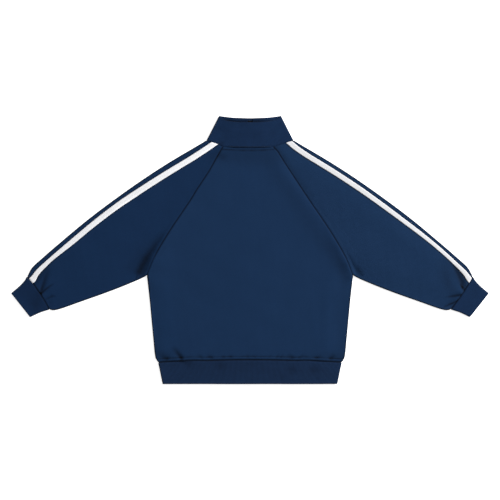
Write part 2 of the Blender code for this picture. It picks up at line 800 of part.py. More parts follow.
def mark_upright_edges(piece):
    """Gives the edges that run along Z a full bevel weight."""
    mesh = piece.data
    weight = mesh.attributes.new("bevel_weight_edge", "FLOAT", "EDGE")
    for edge in mesh.edges:
        a, b = (mesh.vertices[i].co for i in edge.vertices)
        weight.data[edge.index].value = 1.0 if abs(a.z - b.z) > 0.0001 else 0.0


def make_box():
    """The bottom box that holds the two halves of the zip together."""
    width, length, thick = BOX
    box = block("zip_box", (-width / 2, ZIP_END, OVER_RIB - thick / 2),
                (width / 2, ZIP_END + length, OVER_RIB + thick / 2), "track_jacket", zip_metal())
    corners = box.modifiers.new("round edges", "BEVEL")
    corners.width = BOX_EDGE * MM
    corners.segments = 2
    return box


def main():
    start_scene()
    make_back()
    for side in ("left", "right"):
        make_front(side)
        make_sleeve(side)
        make_cuff(side)
        make_tape(side)
        make_stringer(side)
    make_collar()
    make_hem_rib()
    make_slider()
    make_pull()
    make_box()


main()
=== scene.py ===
import json
from collections import namedtuple
from math import pi, sin, tan

import bmesh
import bpy
import numpy as np
from bpy.props import FloatProperty, FloatVectorProperty, PointerProperty
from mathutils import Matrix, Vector
from mathutils.geometry import tessellate_polygon


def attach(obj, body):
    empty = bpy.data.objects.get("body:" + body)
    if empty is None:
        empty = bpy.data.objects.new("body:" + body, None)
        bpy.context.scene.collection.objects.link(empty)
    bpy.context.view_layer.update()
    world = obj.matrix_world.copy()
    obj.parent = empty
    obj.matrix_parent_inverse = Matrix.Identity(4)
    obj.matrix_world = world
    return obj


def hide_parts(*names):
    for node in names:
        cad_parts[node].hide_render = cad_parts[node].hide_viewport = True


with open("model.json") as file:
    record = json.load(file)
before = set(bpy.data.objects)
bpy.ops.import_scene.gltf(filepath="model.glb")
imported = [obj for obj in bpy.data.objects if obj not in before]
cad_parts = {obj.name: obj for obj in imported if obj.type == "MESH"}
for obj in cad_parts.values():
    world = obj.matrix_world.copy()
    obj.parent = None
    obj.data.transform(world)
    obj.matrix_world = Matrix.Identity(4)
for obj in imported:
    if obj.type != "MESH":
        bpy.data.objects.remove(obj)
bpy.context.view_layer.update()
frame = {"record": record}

bl_info = {
    "name": "Knitted Track Jacket",
    "version": (1, 0, 0),
    "blender": (4, 5, 0),
    "location": "3D View > Sidebar > Jacket",
    "description": "The cloth, stitching and zip of a child's track jacket laid out on its front",
    "category": "Object",
}

# The jacket lies with its back up: +X is the wearer's right, +Y the collar, and Z = 0 the surface
# under it. Tables and geometry are in millimetres, and MM turns them into metres.
MM = 0.001

# ---------------------------------------------------------------- sizes of the solids (mm)
JERSEY = 1.6            # body cloth
RIB = 2.2               # two plies of rib
RIB_PLY = 1.0           # one of them, with a little room between the two
JOIN = 0.06             # how far a piece goes past its seam line
JERSEY_FOLD = 4.8       # height of the cloth where it folds over at the sides
RIB_FOLD = 6.0
LOFT = 2.0              # how far the top layer rises in from its folds
LOFT_REACH = 45.0
FRONT_EDGE = 5.0        # centre line to the edge of each front
TAPE_THICK = 0.6
TAPE_LIFT = 0.3         # sleeve to the underside of its white tape
TAPE_CROWN = 0.25       # how much lower a tape's edges are than its middle

HEM_BOTTOM = -267.4
HEM_BOTTOM_X = 174.8
HEM_SEAM = -216.8
HEM_SAG = 6.8           # how much lower the hem seam is at the sides
HEM_DIP = 1.6           # and again over its middle, as far as HEM_DIP_X, fading over HEM_DIP_FADE
HEM_DIP_X = 115.0
HEM_DIP_FADE = 30.0
HEM_LENGTH = 47.0       # of the hem band, from its seam to its folded edge
CUFF_LENGTH = 41.0
COLLAR_LENGTH = 52.0
SLEEVE_LENGTH = 450.0
SIDE_LENGTH = 174.5     # of the body's side, from the hem seam to the underarm
RAGLAN_LENGTH = 296.0
HALF_BODY = 200.0       # from the body's side to its centre line
NECK_Y = 206.6
FRONT_NECK_Y = 196.6
FRONT_ROWS_Y = 186.6    # what the front's uppermost rows of points rise to at its inner edge
NECK_SHARE = 0.115      # share of a sleeve's upper end that joins the collar
COLLAR_SEAM_SHARE = 0.44        # share of the collar's base that joins the sleeve
UNDERARM_FOLD = 0.25    # what is left of the body's side fold at the underarm
FOLD_OUT = 0.4          # how far the cloth bulges out at its folds
CLOTH_STEP = 2.9        # between the rows of points along the body and the sleeves
SIDES = ("left", "right")

# ---------------------------------------------------------------- outlines, for the +X side (mm)
SLEEVE = (              # at, top fold x y, under fold x y, from the cuff seam to the body
    (0.00, 445.3, -53.0, 401.5, -118.0),
    (0.04, 435.8, -35.4, 392.0, -119.6),
    (0.10, 415.4, -16.1, 374.0, -115.0),
    (0.20, 379.1, 15.3, 340.0, -102.9),
    (0.35, 325.1, 60.3, 298.0, -88.1),
    (0.50, 272.3, 100.3, 263.0, -75.0),
    (0.65, 215.6, 140.4, 236.0, -64.0),
    (0.80, 160.4, 176.2, 218.0, -56.2),
    (1.00, 86.9, 219.6, 206.0, -49.5),
)
BODY_SIDE = (           # at, x y, from the hem seam to the underarm
    (0.00, 183.8, -223.6),
    (0.06, 189.0, -214.0),
    (0.25, 192.7, -180.4),
    (0.48, 196.5, -140.4),
    (0.71, 200.3, -100.4),
    (1.00, 206.0, -49.5),
)
CUFF = (                # at, top fold x y, under fold x y, from the sleeve to the open end
    (0.00, 445.3, -53.0, 401.5, -118.0),
    (0.03, 446.5, -53.8, 402.7, -118.8),
    (0.20, 450.6, -60.6, 409.5, -121.0),
    (0.50, 460.6, -71.2, 420.6, -124.9),
    (1.00, 477.7, -85.7, 439.6, -133.9),
)
CUFF_BOW = {"left": 2.7, "right": -1.6}     # how far each cuff seam bows up the arm
TAPES = {               # at, top fold to the tape's upper edge, width
    "left": ((0.00, 4.2, 10.4), (0.015, 6.6, 10.4), (0.03, 8.3, 10.2), (0.05, 9.2, 9.8),
             (0.11, 9.2, 8.4), (0.14, 9.1, 8.0), (0.25, 8.9, 10.2), (0.35, 8.6, 10.8),
             (0.52, 7.8, 11.6), (0.65, 9.5, 11.8), (0.85, 10.8, 10.9), (1.00, 7.9, 10.2)),
    "right": ((0.00, 2.7, 9.6), (0.02, 5.0, 9.6), (0.05, 7.4, 9.0), (0.09, 7.6, 7.9),
              (0.12, 7.1, 7.6), (0.17, 6.5, 7.5), (0.25, 6.6, 7.6), (0.40, 8.2, 8.6),
              (0.60, 7.8, 9.8), (0.85, 7.8, 9.8), (0.94, 6.0, 9.4), (1.00, 2.6, 9.2)),
}
NECK_POINT = (86.9, 219.6)
UNDERARM = (206.0, -49.5)
RAGLAN_TOP = (50.5, 206.8)
COLLAR_TIP = (61.9, 269.0)

BACK_NECK = (           # x y of the back's neck seam, from the raglan's top to the centre
    (50.0, NECK_Y), (25.0, NECK_Y - 1.2), (0.0, NECK_Y - 1.5))

# ---------------------------------------------------------------- what a user would change
SLOTS = {slot["slot"]: slot for slot in frame["record"]["materials"]}


def colour_setting(name, description, default):
    return FloatVectorProperty(name=name, description=description, default=default, size=3,
                               subtype="COLOR", min=0.0, max=1.0)


class JacketSettings(bpy.types.PropertyGroup):
    jersey_colour: colour_setting("Jersey", "Colour of the body and sleeves",
                                  (0.0060, 0.0240, 0.0690))
    rib_colour: colour_setting("Rib", "Colour of the collar, cuffs and hem band",
                               (0.0050, 0.0195, 0.0575))
    tape_colour: colour_setting("Tapes", "Colour of the sleeves' tapes",
                                SLOTS["white_tape"]["base_color"])
    metal_colour: colour_setting("Zip metal", "Colour of the zip's slider, tab and box",
                                 SLOTS["zip_metal"]["base_color"])
    wale: FloatProperty(name="Wale", description="Width of one column of jersey stitches",
                        default=0.0011, unit="LENGTH", precision=4)
    rib_pitch: FloatProperty(name="Rib", description="Width of one rib and the furrow beside it",
                             default=0.0025, unit="LENGTH", precision=4)
    creasing: FloatProperty(name="Creasing", description="Depth of the creases against those laid",
                            default=1.0, min=0.0, max=2.0, subtype="FACTOR")
    stitch: FloatProperty(name="Stitch", description="Length of one stitch of topstitching",
                          default=0.0030, unit="LENGTH", precision=4)


def settings():
    return bpy.context.scene.track_jacket


# ---------------------------------------------------------------- curves
class Curve:
    """A smooth curve through a table's rows, read at any places in its first column."""

    def __init__(self, rows):
        table = np.array(rows, float)
        self.at, self.values = table[:, 0], table[:, 1:]
        place = np.arange(len(table))
        low, high = np.maximum(place - 1, 0), np.minimum(place + 1, len(table) - 1)
        span = (self.at[high] - self.at[low])[:, None]
        self.slopes = (self.values[high] - self.values[low]) / span

    def __call__(self, at):
        at = np.asarray(at, float)
        i = np.clip(np.searchsorted(self.at, at, side="right") - 1, 0, len(self.at) - 2)
        span = (self.at[i + 1] - self.at[i])[..., None]
        t = (at - self.at[i])[..., None] / span
        a, b = self.values[i], self.values[i + 1]
        m, n = self.slopes[i] * span, self.slopes[i + 1] * span
        return ((2 * t**3 - 3 * t**2 + 1) * a + (t**3 - 2 * t**2 + t) * m
                + (3 * t**2 - 2 * t**3) * b + (t**3 - t**2) * n)


def line(*points):
    """A smooth plan line through a few points, read by its share from 0 to 1."""
    points = np.array(points, float)
    reach = np.concatenate([[0], np.cumsum(np.linalg.norm(np.diff(points, axis=0), axis=1))])
    return Curve(np.column_stack([reach / reach[-1], points]))


sleeve_folds, body_side, cuff_folds = Curve(SLEEVE), Curve(BODY_SIDE), Curve(CUFF)
tapes = {side: Curve(rows) for side, rows in TAPES.items()}
neck_side = line(NECK_POINT, (77.0, 216.4), (63.7, 211.8), RAGLAN_TOP)
raglan = line(RAGLAN_TOP, (70.7, 173.6), (119.8, 99.2), (160.6, 38.7), (191.5, -14.2), UNDERARM)
front_neck = line(RAGLAN_TOP, (28.0, 199.6), (FRONT_EDGE, FRONT_NECK_Y))
back_neck = line(RAGLAN_TOP, *BACK_NECK[1:])
collar_back_edge = line(COLLAR_TIP, (50.0, 260.6), (30.0, 257.0), (0.0, 256.3))
collar_front_edge = line(COLLAR_TIP, (35.0, 265.4), (FRONT_EDGE, 264.0))


def smooth(t):
    """0 to 1 with soft ends."""
    t = np.clip(t, 0.0, 1.0)
    return t * t * (3 - 2 * t)


def hem_seam(x):
    """Height in plan of the seam between body and hem band, a little lower in the middle."""
    x = np.asarray(x)
    return (HEM_SEAM - HEM_SAG * (x / BODY_SIDE[0][1]) ** 2
            - HEM_DIP * smooth((HEM_DIP_X - np.abs(x)) / HEM_DIP_FADE))


def fading(x, full, none):
    """1 up to one distance from the centre line, and softly down to 0 at another."""
    return smooth((none - np.abs(x)) / (none - full))


def unit(vectors):
    """Vectors made 1 long."""
    return vectors / np.linalg.norm(vectors, axis=-1)[..., None]


def at_height(plan, z):
    """Plan points at the heights z."""
    return np.concatenate([plan, z[..., None]], axis=-1)


SEAM_WANDER = 0.55      # how far the hem seam wanders up and down
SEAM_WANDER_REACH = 9.0


def sewn_unevenly(grid):
    """A grid whose points by the hem seam wander a little up and down, as the seam does."""
    x, y = grid[..., 0], grid[..., 1]
    near = np.exp(-(((y - hem_seam(x)) / SEAM_WANDER_REACH) ** 2)) * fading(x, 120.0, 180.0)
    moved = grid.copy()
    moved[..., 1] += SEAM_WANDER * near * np.sin(x / 8.3 + 1.1) * np.sin(x / 27.0 + 0.4)
    return moved


def to_path(spots, path):
    """How far plan points are from a path of points, where the nearest place is, and its side.

    The place counts the path's points from 0. The side is positive to the left of the path.
    """
    path = np.asarray(path, float)
    best = np.full(spots.shape[:-1], np.inf)
    place, hand = np.zeros_like(best), np.ones_like(best)
    for i, (a, b) in enumerate(zip(path, path[1:])):
        along = b - a
        off = spots - a
        share = np.clip(off @ along / (along @ along), 0.0, 1.0)
        away = np.linalg.norm(off - share[..., None] * along, axis=-1)
        nearer = away < best
        best = np.where(nearer, away, best)
        place = np.where(nearer, i + share, place)
        hand = np.where(nearer, along[0] * off[..., 1] - along[1] * off[..., 0], hand)
    return best, place, hand


def mirrored(points, side):
    """Plan or space points made for the +X side, put on the side that is asked for."""
    points = np.array(points, float)
    if side == "left":
        points[..., 0] *= -1
    return points


# ---------------------------------------------------------------- relief of the cloth
# A crease is a path of rows: x, y, depth (a ridge where it is negative), and how far it takes to
# fade to the left and to the right of the path, or once for both.


def beside_raglan(side, *rows):
    """A crease along one raglan seam, in rows of: share of the seam, how far the crease is from it
    towards the sleeve, depth, and how far it takes to fade towards the body and the sleeve."""
    made = []
    for share, out, depth, *fades in rows:
        ahead = raglan(min(share + 0.01, 1.0)) - raglan(share - 0.01)
        x, y = raglan(share) + out * unit(np.array([-ahead[1], ahead[0]]))
        made.append((x, y, depth, *fades[::-1]) if side == "right" else (-x, y, depth, *fades))
    return made


RAGLAN_FOLDS = {
    "left": (
        beside_raglan("left", (0.55, -1, 0, 20, 8), (0.70, -2, -1.6, 22, 8),
                      (0.80, -2, -3.0, 25, 9), (0.90, -3, -4.2, 28, 10), (1.0, -3, -4.2, 28, 10)),
        beside_raglan("left", (0.58, 9, 0, 6, 12), (0.71, 11, 0.9, 6, 14), (0.80, 13, 1.7, 7, 17),
                      (0.90, 16, 2.1, 8, 20), (1.0, 17, 2.1, 8, 20)),
    ),
    "right": (
        beside_raglan("right", (0.02, -15, -0.1, 20, 12), (0.2, -13, -1.2, 20, 12),
                      (0.4, -9, -1.2, 18, 8), (0.6, -7, -0.8, 20, 8), (0.78, -6, -1.3, 20, 22),
                      (0.92, -5, -1.3, 16, 20), (1.0, -5, -1.0, 14)),
        beside_raglan("right", (0.62, -7, 0, 7, 8), (0.78, -5.5, -1.0, 7, 8),
                      (0.92, -5, -1.0, 7.5, 8), (1.0, -5, -0.8, 7)),
        beside_raglan("right", (0.0, 1, 0.3, 7, 6), (0.1, 1, 0.6, 8, 7), (0.3, 1, 0.8, 8, 7),
                      (0.45, 1, 0.4, 8, 7), (0.6, 1, 0, 8, 7)),
        beside_raglan("right", (0.82, 5, 0, 3), (0.90, 6, 0.9, 3, 3.5), (1.0, 7, 1.1, 3.5, 4)),
    ),
}


def pucker(x, lean, reach, depth, width):
    """A small crease that starts above the hem seam and deepens down to its topstitching."""
    foot = float(hem_seam(x)) + 5.0
    return ((x + lean, foot + reach, 0, 1.3 * width),
            (x + 0.4 * lean, foot + 0.4 * reach, 0.7 * depth, width),
            (x, foot, depth, 0.9 * width), (x - 0.2 * lean, foot - 3.5, 0, width))


HEM_PUCKERS = [pucker(*row) for row in (        # from left to right
    (-166, -15, 5, 1.3, 4.5), (-137, -20, 24, 2.0, 4.2), (-97, -11, 9, 0.8, 2.4),
    (-77, -13, 5, 1.0, 3.6), (-53, -7, 3, 0.6, 3.4), (-38, -8, 4, 0.7, 3.4), (-5, -4, 6, 0.7, 3.4),
    (10, -8, 4, 0.5, 3.0), (38, 5, 5, 0.6, 2.0), (53, 6, 8, 0.7, 2.0), (61, 7, 8, 0.7, 2.0),
    (84, -12, 6, 1.2, 4.4), (98, 13, 7, 0.9, 2.4), (131, 14, 3, 0.9, 2.8), (160, 10, 8, 1.3, 3.8))]


def share_of(creases, share):
    """Creases with a share of their depth."""
    return [[(x, y, depth * share, *fades) for x, y, depth, *fades in crease]
            for crease in creases]


HEM_DENTS = (           # soft dents in the hem band, from left to right
    ((-140, -221, 1.2, 6, 5), (-126, -228, 1.0, 7, 6), (-114, -234, 0, 8)),
    ((-80, -228, 0, 9), (-62, -234, 0.8, 10, 9), (-48, -240, 0, 9)),
    ((-14, -224, 0, 9, 7), (4, -228, 0.3, 9, 7), (28, -228, 0, 9, 7)),
    ((54, -252, 0, 6), (62, -256, 0.5, 6), (68, -260, 0, 6)),
    ((66, -236, 0, 8), (82, -241, 1.0, 8), (96, -246, 0, 8)),
    ((110, -242, 0, 8), (125, -239, 1.0, 9, 8), (142, -233, 0, 8)),
    ((124, -256, 0, 5), (133, -257, 0.5, 5), (140, -256, 0, 5)),
)
CREASES = {
    "back": (
        *RAGLAN_FOLDS["left"], *RAGLAN_FOLDS["right"], *HEM_PUCKERS,
        ((-68, 194, 0, 8), (-60, 186, 0.9, 8), (-50, 179, 0, 8)),
        ((136, -62, 0, 8), (140, -120, 0.5, 8), (138, -176, 0, 8)),
        ((160, -70, 0, 8), (164, -130, 0.45, 8), (161, -172, 0, 8)),
        ((-60, -120, 0, 16), (-110, -90, 0.5, 16), (-150, -40, 0, 16)),
    ),
    "sleeve_left": (
        *RAGLAN_FOLDS["left"],
        ((-419, -87, 0.8, 3, 4), (-416, -76, 1.6, 3, 5), (-410, -58, 1.0, 4, 5),
         (-404, -44, 0.4, 5, 6), (-399, -33, 0, 5, 6)),
        ((-418, -88, 0.8, 3), (-406, -76, 1.1, 3), (-393, -67, 0, 3)),
        ((-409, -99, 0.4, 3), (-396, -92, 0.8, 3), (-387, -92, 0, 3)),
        ((-402, -106, 0.4, 3), (-394, -103, 0, 3)),
    ),
    "sleeve_right": (
        *RAGLAN_FOLDS["right"],
        ((403, -27, 0, 6, 4), (410, -39, 1.0, 7, 4), (418, -51, 1.8, 7, 4), (424, -66, 2.1, 7, 4),
         (427, -78, 1.2, 6, 4)),
        ((393, -93, 0, 4, 3), (405, -92, 1.0, 4, 3), (414, -90, 1.4, 4, 3), (420, -89, 0.8, 4, 3)),
        ((386, -115, 0, 3), (390, -112, 0.6, 3), (397, -108.6, 0.7, 3), (405, -106, 0.7, 3),
         (415, -100, 0.3, 3)),
        ((208, -30, 0, 5), (214, -40, 1.2, 5), (221, -51, 1.2, 5)),
    ),
    "collar": (
        ((-69, 246, 0, 4), (-62, 241, 0.8, 4), (-54, 236, 0, 4)),
        ((-36, 236, 0, 9), (-20, 246, 0.9, 9), (-4, 252, 0, 9)),
        ((22, 226, 0, 9), (40, 236, 0.6, 9), (52, 250, 0, 9)),
    ),
    "hem_rib": HEM_DENTS,
    "under_sleeve_left": (
        ((-214, -44, 0.9, 9, 14), (-202, -10, 0.7, 8, 12), (-190, 20, 0, 7, 10)),
        ((-416, -92, 0.9, 5), (-404, -74, 0.7, 5), (-390, -58, 0, 5)),
        ((-424, -76, 0.8, 4, 5), (-414, -62, 0.6, 4, 5), (-404, -46, 0, 5)),
    ),
    "under_sleeve_right": (
        ((214, -44, 0.9, 14, 9), (203, -12, 0.7, 12, 8), (191, 18, 0, 10, 7)),
        ((420, -86, 0.9, 5), (408, -72, 0.7, 5), (394, -62, 0, 5)),
        ((409, -101, 0.8, 5, 4), (396, -94, 0.5, 5, 4), (382, -90, 0, 5)),
    ),
    "under_front": (
        ((140, -216, 0.8, 5), (132, -200, 0.5, 6), (120, -186, 0, 7)),
        ((60, -214, 0.7, 5), (66, -202, 0.4, 5), (76, -192, 0, 6)),
        ((-96, -217, 0.7, 5), (-104, -204, 0.5, 5), (-110, -190, 0, 6)),
        ((-168, -216, 0.8, 5), (-160, -204, 0.5, 6), (-150, -194, 0, 7)),
        ((182, -20, -0.5, 10, 18), (150, 34, -0.5, 10, 20), (110, 92, 0, 10, 20)),
        ((90, -60, 0, 14), (120, -20, 0.6, 14), (140, 40, 0, 14)),
        ((-96, -80, 0, 14), (-124, -30, 0.6, 14), (-150, 20, 0, 14)),
    ),
}

# Painted shade: where cloth lies in hollows, creases and gaps beside its neighbours, its colour is
# painted darker, in rows like those of the creases, with how much darker it is for their depth.
# Where that is below 0, the colour is painted lighter instead, as painted light.
LEFT_HOLLOW = beside_raglan("left", (0.68, 9, 0, 6, 8), (0.80, 11, 0.38, 5, 7),
                            (0.90, 14, 0.62, 7, 8), (1.0, 17, 0.66, 8))
LEFT_SEAM_END = beside_raglan("left", (0.82, 0, 0, 2.4), (0.89, 0, -0.30, 2.4),
                              (1.0, 0, -0.45, 2.4))
RIGHT_BAND = beside_raglan("right", (0.05, -26, 0.03, 16, 14), (0.3, -26, 0.08, 16),
                           (0.6, -26, 0.08, 20, 18), (0.78, -18, 0.15, 16, 12),
                           (0.92, -15, 0.19, 13, 9), (1.0, -15, 0.10, 12, 9))
RIGHT_SEAM_END = beside_raglan("right", (0.83, 0, 0, 1.8), (0.91, 0, -0.22, 1.8),
                               (1.0, 0, -0.28, 1.8))
LEFT_SHADE = beside_raglan("left", (0.74, 22, 0, 8, 10), (0.86, 28, 0.12, 10, 12),
                           (1.0, 34, 0.12, 10, 12))
RIGHT_SHADE = beside_raglan("right", (0.0, 3, 0.18, 3, 5), (0.3, 3, 0.14, 3, 5),
                            (0.45, 5, 0.06, 4, 8), (0.65, 6, 0.09, 5, 9), (0.84, 5, 0.14, 4, 6),
                            (0.92, 8, 0.13, 5, 6), (1.0, 15, 0.22, 7))
SHADES = {
    "back": (
        LEFT_HOLLOW, LEFT_SEAM_END,
        RIGHT_BAND, RIGHT_SEAM_END,
        ((-166, 14, 0, 4), (-173, 2, 0.08, 4), (-180, -14, 0, 4)),
        ((-60, 200, 0.10, 24), (0, 202, 0.15, 26), (56, 200, 0.12, 24)),
        ((-96, 180, 0.04, 10), (-60, 184, 0.07, 12), (0, 182, 0.08, 14), (56, 180, 0.05, 12)),
        ((-62, 192, 0.16, 7), (-52, 186, 0.16, 7), (-44, 182, 0, 7)),
        ((-170, -70, -0.10, 18), (-163, -190, -0.10, 16, 18)),
        ((188, -30, 0.09, 14, 12), (184, -192, 0.09, 14, 12)),
        ((-194, -176, 0.16, 6, 8), (-190, -206, 0.30, 8), (-160, -212, 0.10, 8)),
        ((126, -210, 0.06, 8), (160, -210, 0.12, 8), (188, -214, 0.22, 8)),
        *share_of(HEM_PUCKERS, 0.40),
    ),
    "sleeve_left": (
        LEFT_HOLLOW, LEFT_SEAM_END, LEFT_SHADE,
        ((-419, -86, 0.60, 3), (-416.5, -77, 0.70, 3, 4), (-411, -60, 0.45, 3, 4),
         (-405, -45, 0.20, 4, 5), (-400, -33, 0, 4, 5)),
        ((-418, -87, 0.55, 2), (-406, -76, 0.60, 2), (-396, -69, 0.30, 1.6), (-391, -66, 0, 1.5)),
        ((-409, -99, 0.25, 2), (-396, -92, 0.40, 2.4), (-387, -92, 0, 2)),
        ((-432, -70, 0.20, 7), (-420, -54, 0.28, 7), (-406, -30, 0.20, 7), (-390, -10, 0.08, 7),
         (-372, 4, 0, 7)),
        ((-84, 186, 0.06, 8), (-74, 188, 0.16, 8), (-64, 192, 0.10, 8)),
    ),
    "sleeve_right": (
        RIGHT_SHADE, RIGHT_SEAM_END,
        ((403, -26, 0, 4, 5), (411, -39, 0.30, 5, 6), (418, -53, 0.46, 5, 6), (423, -66, 0.60, 5),
         (427, -78, 0.60, 4, 3)),
        ((386, -26, 0.10, 12), (391, -44, 0.20, 12), (396, -66, 0.20, 12), (408, -84, 0.14, 10),
         (404, -108, 0.14, 8)),
        ((400, -22, 0.12, 9, 7), (412, -36, 0.22, 9, 6), (426, -56, 0.28, 8, 6),
         (433, -70, 0.25, 7, 5)),
        ((419, -66, 0, 2), (424, -74, 0.55, 2.4, 2.2), (427, -79, 0, 2)),
        ((428, -58, -0.06, 3), (434, -64, -0.16, 3), (434, -72, -0.10, 3)),
        ((391, -93, 0.10, 2), (399, -92.5, 0.40, 2.2), (408, -91.5, 0.60, 2.4),
         (416, -90, 0.70, 2.4), (421, -89, 0.60, 2.2)),
        ((386, -115, 0.30, 1.5), (390, -112.5, 0.50, 1.5), (397, -108.6, 0.60, 1.6),
         (405, -106, 0.65, 1.6), (415, -100, 0.40, 1.5), (419, -97, 0.20, 1.5)),
    ),
    "cuff_left": (((-420, -84, 0.16, 10), (-428, -104, 0.16, 10)),
                  ((-470, -86, -0.16, 8), (-436, -130, -0.16, 8))),
    "collar": (
        ((-59, 215, 0.20, 4), (-53, 213, 0.30, 4)),
        ((-69, 246, 0.10, 3), (-66, 241, 0.20, 3), (-62, 237, 0.10, 3)),
        # painted shadow in the gap under the back collar's folded edge
        ((-56, 261.7, 0.10, 1.4), (-44, 259.5, 0.50, 1.4), (-30, 258.0, 0.75, 1.4),
         (0, 257.4, 1.0, 1.6), (12, 257.6, 1.0, 2.0), (24, 258.2, 0.90, 1.8, 1.6),
         (38, 259.4, 0.60, 1.6, 1.4), (54, 261.5, 0, 1.4)),
    ),
    "hem_rib": (
        ((-150, -226, 0.06, 9), (-60, -232, 0.08, 16), (60, -240, 0.08, 14),
         (150, -240, 0.08, 12)),
        *share_of(HEM_DENTS, 0.16),
    ),
}

# How the cloth rolls down into a seam and swells beside it, how far its topstitching is, and how
# much painted shade darkens it down in the seam.
Seam = namedtuple("Seam", "path dip width swell at stitch dark")
STITCH_DIP = 0.35       # how far topstitching pulls the cloth down
# painted shade in the groove of the topstitching
STITCH_DARK = 0.6
FOLD_DARK = 0.47        # painted shade: how much darker the jacket's outline is where the cloth turns under
FOLD_DARK_REACH = 1.8
NECK_STITCH = 5.4       # from each seam to its topstitching
HEM_STITCH = 6.2
FRONT_NECK_STITCH = 6.4
ZIP_STITCH = 5.0


def seam_path(curve, side="right", count=25):
    return mirrored(curve(np.linspace(0, 1, count)), side)


def cuff_seam_path(side):
    share = np.linspace(0, 1, 13)
    (top_x, top_y, under_x, under_y), = sleeve_folds([0.0])
    across = np.array([under_x - top_x, under_y - top_y])
    up_arm = unit(np.array([across[1], -across[0]]))
    bow = 4 * share * (1 - share) * CUFF_BOW[side]
    path = np.array([top_x, top_y]) + share[:, None] * across + bow[:, None] * up_arm
    return mirrored(path, side)


def hem_seam_path():
    x = np.linspace(-BODY_SIDE[0][1], BODY_SIDE[0][1], 61)
    return np.column_stack([x, hem_seam(x)])


def creased(spots, creases):
    """How far creases lower the cloth at plan points."""
    lowered = np.zeros(spots.shape[:-1])
    for crease in creases:
        rows = np.array([(*row, row[3])[:5] for row in crease], float)
        away, place, hand = to_path(spots, rows[:, :2])
        depth, left, right = [np.interp(place, np.arange(len(rows)), rows[:, k])
                              for k in (2, 3, 4)]
        width = np.where(hand > 0, left, right)
        lowered += depth * np.exp(-((away / width) ** 2))
    return lowered


def seamed(spots, seams):
    """How far seams raise the cloth at plan points, below 0 in the seams themselves."""
    raised = np.zeros(spots.shape[:-1])
    for seam in seams:
        away = to_path(spots, seam.path)[0]
        raised -= seam.dip * np.exp(-((away / seam.width) ** 2))
        raised += seam.swell * np.exp(-(((away - seam.at) / (0.55 * seam.at)) ** 2))
        if seam.stitch:
            raised -= STITCH_DIP * np.exp(-(((away - seam.stitch) / 1.2) ** 2))
    return raised


def uneven(spots):
    """The small unevenness of soft cloth that has been handled and laid down."""
    x, y = spots[..., 0], spots[..., 1]
    return (0.22 * np.sin(x / 23 + 1.3 * np.sin(y / 41)) * np.sin(y / 31 + 0.7)
            + 0.16 * np.sin((x + 0.6 * y) / 13.0 + 2.1) * np.sin((y - 0.4 * x) / 17.0)
            + 0.07 * np.sin((x - y) / 5.3) * np.sin((x + 1.7 * y) / 7.1 + 0.4))


def fold_lines():
    """The folds round the jacket's outline on the +X side, as plan paths."""
    share = np.linspace(0, 1, 25)
    folds = sleeve_folds(share)
    return body_side(share), folds[:, 2:], folds[:, :2]


FOLD_LINES = fold_lines()


def fold_distance(spots):
    """Distance from plan points to the nearest fold of the jacket's outline."""
    plan = np.stack([np.abs(spots[..., 0]), spots[..., 1]], axis=-1)
    return np.min([to_path(plan, path)[0] for path in FOLD_LINES], axis=0)


def top_height(spots):
    """Height of the top layer's outer side, before creases: it rises in from the folds."""
    return JERSEY_FOLD + LOFT * smooth(fold_distance(spots) / LOFT_REACH)


# ---------------------------------------------------------------- making meshes
# EDGE_STEPS are the places of the rows next to a seam, from the seam in.
EDGE_STEPS = (0.0, 0.4, 0.8, 1.3, 1.9, 2.6, 3.5, 4.6, 5.8, 7.2, 8.8)
ARC = np.radians(np.linspace(0, 90, 7))      # round a quarter of a fold, from its middle


def spread(length, step, start=True, end=True):
    """Shares of a length in even steps, finer next to a seam at its start or end."""
    low = EDGE_STEPS if start else (0.0,)
    high = EDGE_STEPS if end else (0.0,)
    inner = length - low[-1] - high[-1]
    count = max(round(inner / step), 1)
    middle = low[-1] + inner * np.arange(1, count) / count
    return np.concatenate([low, middle, length - np.array(high)[::-1]]) / length


def cloth_lengths(grid, closed):
    """Distance round each row and along each column of a grid of points, in mm."""
    wide = np.concatenate([grid, grid[:, :1]], axis=1) if closed else grid
    across = np.nan_to_num(np.linalg.norm(np.diff(wide, axis=1), axis=-1))
    along = np.nan_to_num(np.linalg.norm(np.diff(wide, axis=0), axis=-1))
    u = np.concatenate([np.zeros((len(wide), 1)), np.cumsum(across, axis=1)], axis=1)
    v = np.concatenate([np.zeros((1, wide.shape[1])), np.cumsum(along, axis=0)], axis=0)
    return np.stack([u, v], axis=-1)


def grid_mesh(name, grid, closed=False, flip=False, middle=None, ribs=False):
    """A sheet of four-sided faces through a grid of points in mm; a point of nan has no faces.

    Its UV map holds the place on the cloth in metres: across the wales from the column `middle`,
    and along them. Ribs keep to their columns where the piece narrows.
    """
    rows, columns = grid.shape[:2]
    whole = ~np.isnan(grid[..., 0])
    number = np.cumsum(whole.ravel()).reshape(whole.shape) - 1
    i, j = np.meshgrid(np.arange(rows - 1), np.arange(columns if closed else columns - 1),
                       indexing="ij")
    i, j = i.ravel(), j.ravel()
    k = (j + 1) % columns
    corners = [(i, j, j), (i, k, j + 1), (i + 1, k, j + 1), (i + 1, j, j)]
    if flip:
        corners = corners[::-1]
    keep = np.all([whole[a, b] for a, b, _ in corners], axis=0)
    faces = np.stack([number[a, b] for a, b, _ in corners], axis=1)[keep]
    lengths = cloth_lengths(grid, closed)
    if ribs:
        lengths[..., 0] = lengths[0, :, 0]
    if middle is not None:
        lengths[..., 0] -= lengths[:, middle:middle + 1, 0]
    uv = np.stack([lengths[a, c] for a, _, c in corners], axis=1)[keep] * MM

    mesh = plain_mesh(name, grid[whole], faces.tolist())
    mesh.uv_layers.new(name="cloth").data.foreach_set("uv", uv.ravel())
    return mesh


def plain_mesh(name, points, faces):
    """A smooth mesh from points in mm and the faces between them."""
    mesh = bpy.data.meshes.new(name)
    mesh.from_pydata(points * MM, [], faces)
    mesh.shade_smooth()
    return mesh


